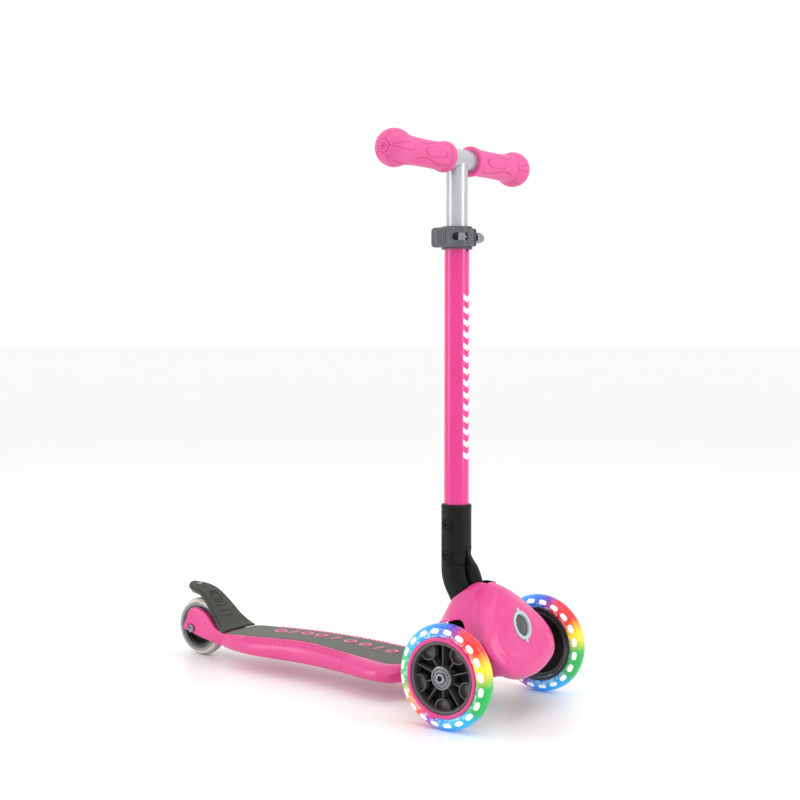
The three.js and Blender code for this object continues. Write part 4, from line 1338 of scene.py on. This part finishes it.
def clamp():
    s = clampSettings
    z, half = s["z"], s["half"]
    collar = turnedPiece("clampCollar", [(15.2, -half), (17.8, -half), (18.6, 0.8 - half),
                                         (18.6, half - 0.8), (17.8, half), (15.2, half)],
                         (stemX, 0, z), (0, 0, 1), 96, closed=True)
    ears = blockPiece("ears", (s["boltX"] - 7, -14.4, z - half + 3), (s["boltX"] + 4.5, 5, z + half - 3))
    bevelEdges(ears, 2.2, 4)
    round = turnedPiece("round", [(0, -20), (15.2, -20), (15.2, 20), (0, 20)], (stemX, 0, z), (0, 0, 1), 96)
    ears = cutAway(ears, [round])
    combine(collar, ears, "UNION")
    slit = blockPiece("slit", (stemX + 5, -1.2, z - 20), (s["boltX"] + 10, 1.2, z + 20))
    hole = turnedPiece("hole", [(0, -25), (3.4, -25), (3.4, 25), (0, 25)], (s["boltX"], 0, z), (0, 1, 0),
                       40)
    recess = turnedPiece("recess", [(0, 0), (7, 0), (7, 20), (0, 20)], (s["boltX"], 5, z), (0, 1, 0), 48)
    cutAway(collar, [slit, hole, recess])
    bevelEdges(collar, 0.5, 2, 40)
    finishPiece(collar, "stem", "clampGrey", ["clamp_collar"])
    outline = arcPoints((-34.5, -4.4), 7.5, -90, 0, 6) + arcPoints((-34.5, 4.4), 7.5, 0, 90,
                                                                   6) + [(-50, 11.9), (-62, 11.8)] \
        + arcPoints((-73.2, 7.3), 4.4, 90, 180, 8) + arcPoints((-73.2, -7.3), 4.4, 180, 270,
                                                               8) + [(-62, -11.8), (-50, -11.9)]
    rings = []
    for y, scale in ((-19.4, 0.95), (-20.2, 1), (-22, 1), (-24, 1), (-26.2, 1), (-27.6, 0.965),
                     (-28.4, 0.9)):
        ring = []
        nose = s["boltX"] + math.sqrt(7.3 ** 2 - (y - s["leverY"]) ** 2)      # round about its pin
        for px, pz in outline:
            bend = (px + 36) * 0.055 if y < -24 else 0
            ring.append(point(min(-56 + (px + 56) * scale, nose), y - bend, z + pz * scale))
        rings.append(ring)
    lever = ringLoft("clampLever", rings)
    capEnds(lever)
    slot = [(-41.2 + 4.6 * math.cos(math.radians(a)), 4.6 * math.sin(math.radians(a))) for a in range(90,
        271, 20)]
    slot += [(-20, -4.6), (-20, 4.6)]
    cutter = platePiece("slot", [point(px, -45, z + pz) for px, pz in slot], Vector((0, 50 * mm, 0)))
    pinHole = turnedPiece("hole", [(0, -30), (2.4, -30), (2.4, 30), (0, 30)],
                          (s["boltX"], s["leverY"], z), (0, 0, 1), 32)
    grips = [blockPiece("groove", (x - 0.55, -34, z - 8.6), (x + 0.55, -27.95 - 0.055 * (x + 36), z + 8.6))
             for x in (-65, -61.4, -57.8, -54.2)]
    cutAway(lever, [cutter, pinHole] + grips)
    bevelEdges(lever, 0.5, 2, 40)
    finishPiece(lever, "clamp_lever", "clampGrey", ["clamp_lever"], 38)
    nut = [(3.5, 3), (3.5, 0), (6.2, 0), (6.6, 0.5), (6.6, 9.2), (6.0, 9.9), (5.4, 10.3), (5.4, 14.2),
           (4.6, 15.6), (3, 16.7), (0, 17.4)]
    rings = [(0, 3)] + nut
    segments = 60
    a, u, v = axisFrame((0, 1, 0))
    start = point(s["boltX"], 5.3, z)
    shaped = []
    for radius, height in rings:
        ring = []
        for k in range(segments):
            angle = 2 * math.pi * k / segments
            ribbed = radius - (0.35 if k % 3 == 0 and radius > 6.5 else 0)
            ring.append(start + a * height * mm + (u * math.cos(angle) + v * math.sin(angle)) * ribbed * mm)
        shaped.append(ring)
    nutPiece = ringLoft("clampNut", shaped)
    finishPiece(nutPiece, "stem", "chrome", ["clamp_nut"], 30)
    print("clamp made")


# handlebar
gripSettings = {"bore": 13, "ballCentre": 127.5, "ball": 21.8, "around": 160}


def gripRadius(along):
    s = gripSettings
    rows = [[25, 16.6], [25.6, 17.8], [28, 18.35], [31.5, 18.1], [34.5, 16.9], [38, 16.35], [50, 16.1],
            [66, 15.9],
            [84, 16.0], [98, 16.4], [108, 17.3]]
    if along < 113.8:
        return smoothRow(rows, min(along, 108))[0] + step(along, 106, 113.8) * 0.2
    return math.sqrt(max(s["ball"] ** 2 - (along - s["ballCentre"]) ** 2, 0))


def gripDetail(along, turn, radius):
    lift, groove = 0.0, 0.0
    front = math.degrees(math.atan2(math.sin(turn), math.cos(turn)))
    if along < 108:
        around = front / 57.3 * 16
        oval = math.hypot((along - 66) / 22.5, around / 6.2)
        lift += 0.6 * (1 - step(oval, 0.9, 1.06))
        groove += groovePulse(oval - 0.96, 0.06)
        flow = around - 11.5 - 3.2 * math.sin((along - 34) / 70 * 2 * math.pi)
        other = around + 11.5 + 3.2 * math.sin((along - 34) / 70 * 2 * math.pi)
        inBody = step(along, 35, 38) * step(-along, -107, -103)
        groove += (groovePulse(flow, 0.75) + groovePulse(other, 0.75)) * inBody
        groove += 0.8 * groovePulse(along - 34.4, 0.6)
    else:
        petal = abs(((front + 36) % 72) - 36) / 57.3
        reach = (along - 108) / 41
        curve = petal * 21.8 * math.cos((reach - 0.35) * 1.4) - 4.5 * math.sin(reach * math.pi)
        fade = step(radius, 8.2, 10) * step(along, 109.5, 112)
        groove += groovePulse(curve, 0.5) * fade
        if along > gripSettings["ballCentre"]:
            for ring in (7.5, 3.5):
                groove += groovePulse(radius - ring, 0.65)
            if radius < 1.6:
                groove += 0.9
    return lift - 0.5 * groove, min(groove, 1)


def grip(sideName, side):
    s = gripSettings
    a, u, v = Vector((0, side, 0)), Vector((1, 0, 0)), Vector((0, 0, 1))
    start = point(stemX, 0, barZ)
    ends = [(s["bore"], 25.2), (s["bore"], 120.5), (0, 120.5)]
    stations = [25 + (113.6 - 25) * k / 120 for k in range(121)]
    turns = [math.radians(52 + 1.6 * k) for k in range(80)]
    stations += [s["ballCentre"] - s["ball"] * math.cos(turn) for turn in turns]
    stations += [s["ballCentre"] + s["ball"] * math.cos(math.radians(t)) for t in (1.2, 0.4)]
    rings = []
    for along in stations:
        radius = gripRadius(along)
        ring = []
        for k in range(s["around"]):
            turn = 2 * math.pi * k / s["around"]
            lift, groove = gripDetail(along, turn, radius)
            bulge = -0.8 * max(0, math.sin(turn - 1.2)) if 40 < along < 100 else 0
            bulge *= step(along, 40, 56) * step(-along, -100, -84)
            outward = (u * math.cos(turn) + v * math.sin(turn)) * (radius + lift + bulge * 0.3)
            if along > 147:
                outward = (u * math.cos(turn) + v * math.sin(turn)) * radius
                outward += a * (-0.5 * groove)
            ring.append(start + (a * along + outward) * mm)
        rings.append(ring)
    inner = []
    around = [2 * math.pi * k / s["around"] for k in range(s["around"])]
    for radius, along in ends:
        inner.append([start + (a * along + (u * math.cos(turn) + v * math.sin(turn)) * radius) * mm
                      for turn in around])
    piece = ringLoft(sideName + "Grip", [inner[2], inner[1], inner[0]] + rings)
    # groove mask for the painted shade that darkens the grip's grooves
    store = piece.data.attributes.new("groove", "FLOAT", "POINT")
    values = []
    for vertex in piece.data.vertices:
        local = (vertex.co - start) / mm
        along = local.y * side
        turn = math.atan2(local.z, local.x)
        outside = math.hypot(local.x, local.z) > s["bore"] + 0.6 or along > 121
        values.append(gripDetail(along, turn, math.hypot(local.x, local.z))[1] if outside else 0.0)
    store.data.foreach_set("value", values)
    finishPiece(piece, "handlebar", "pinkRubber", [sideName + "_grip"], 60)


def handlebar():
    riser = turnedPiece("sliderTube", [(11.2, 250), (12.6, 250), (12.9, 250.4), (12.9, barZ - 9),
                                       (12.9, barZ - 1), (11.2, barZ - 1)],
                        (stemX, 0, 0), (0, 0, 1), 96, closed=True)
    bar = turnedPiece("round", [(0, -40), (12.95, -40), (12.95, 40), (0, 40)], (stemX, 0, barZ),
                      (0, 1, 0), 96)
    cutAway(riser, [bar])
    finishPiece(riser, "handlebar", "whiteAluminium", ["slider_tube"], 30)
    half = 118
    cross = turnedPiece("crossTube", [(11.2, -half), (12.4, -half), (12.7, 0.3 - half),
                                      (12.7, half - 0.3), (12.4, half), (11.2, half)],
                        (stemX, 0, barZ), (0, 1, 0), 96, closed=True)
    finishPiece(cross, "handlebar", "whiteAluminium", ["cross_tube"], 30)
    for sideName, side in (("left", 1), ("right", -1)):
        grip(sideName, side)
    print("handlebar made")


slotLooks = {
    "pink_plastic": "pinkGloss", "pink_rubber": "pinkRubber", "pink_paint": "stemPaint",
    "grip_mat": "gripMat", "fender_plastic": "fenderGrey", "bumper_rubber": "bumperRubber",
    "black_plastic": "blackGrain", "dark_grey_plastic": "darkGrey", "clamp_grey": "clampGrey",
    "light_grey_plastic": "paleGrey", "smoky_plastic": "smoke", "clear_tyre": "litTyre",
    "smoky_tyre": "smokyTyre", "white_aluminium": "whiteAluminium", "spring_steel": "springSteel",
    "chrome": "chrome", "black_screw": "blackScrew", "steel": "steel",
}


def carriedOver():
    for part in frame["record"]["subparts"]:
        piece = nodes[part["node"]]
        piece.data.materials.clear()
        piece.data.materials.append(looks[slotLooks[part["material_slot"]]])
    print("frame pieces finished:", len(nodes))


def floor():
    s = floorSettings
    deselectAll()
    bpy.ops.mesh.primitive_plane_add(size=1)
    piece = named("floor")
    half = s["half"] * mm
    corners = [Vector((-half, -half, 0)), Vector((half, -half, 0)), Vector((-half, half, 0)),
               Vector((half, half, 0))]
    for vertex, place in zip(piece.data.vertices, corners):
        vertex.co = place
    piece.data.materials.append(looks["paleFloor"])


def world():
    sky = bpy.data.worlds.new("studio")
    bpy.context.scene.world = sky
    sky.use_nodes = True
    background = sky.node_tree.nodes["Background"]
    background.inputs["Color"].default_value = (1, 1, 1, 1)
    background.inputs["Strength"].default_value = 1.0
    bpy.context.scene.view_settings.view_transform = "Standard"


addCamera()
world()
makeLooks()
floor()
addLights()
carriedOver()
frontWheels()
rearWheel()
deckBoard()
deckMat()
fender()
cowl()
steeringLock()
neck()
foldTrigger()
stemTube()
clamp()
handlebar()
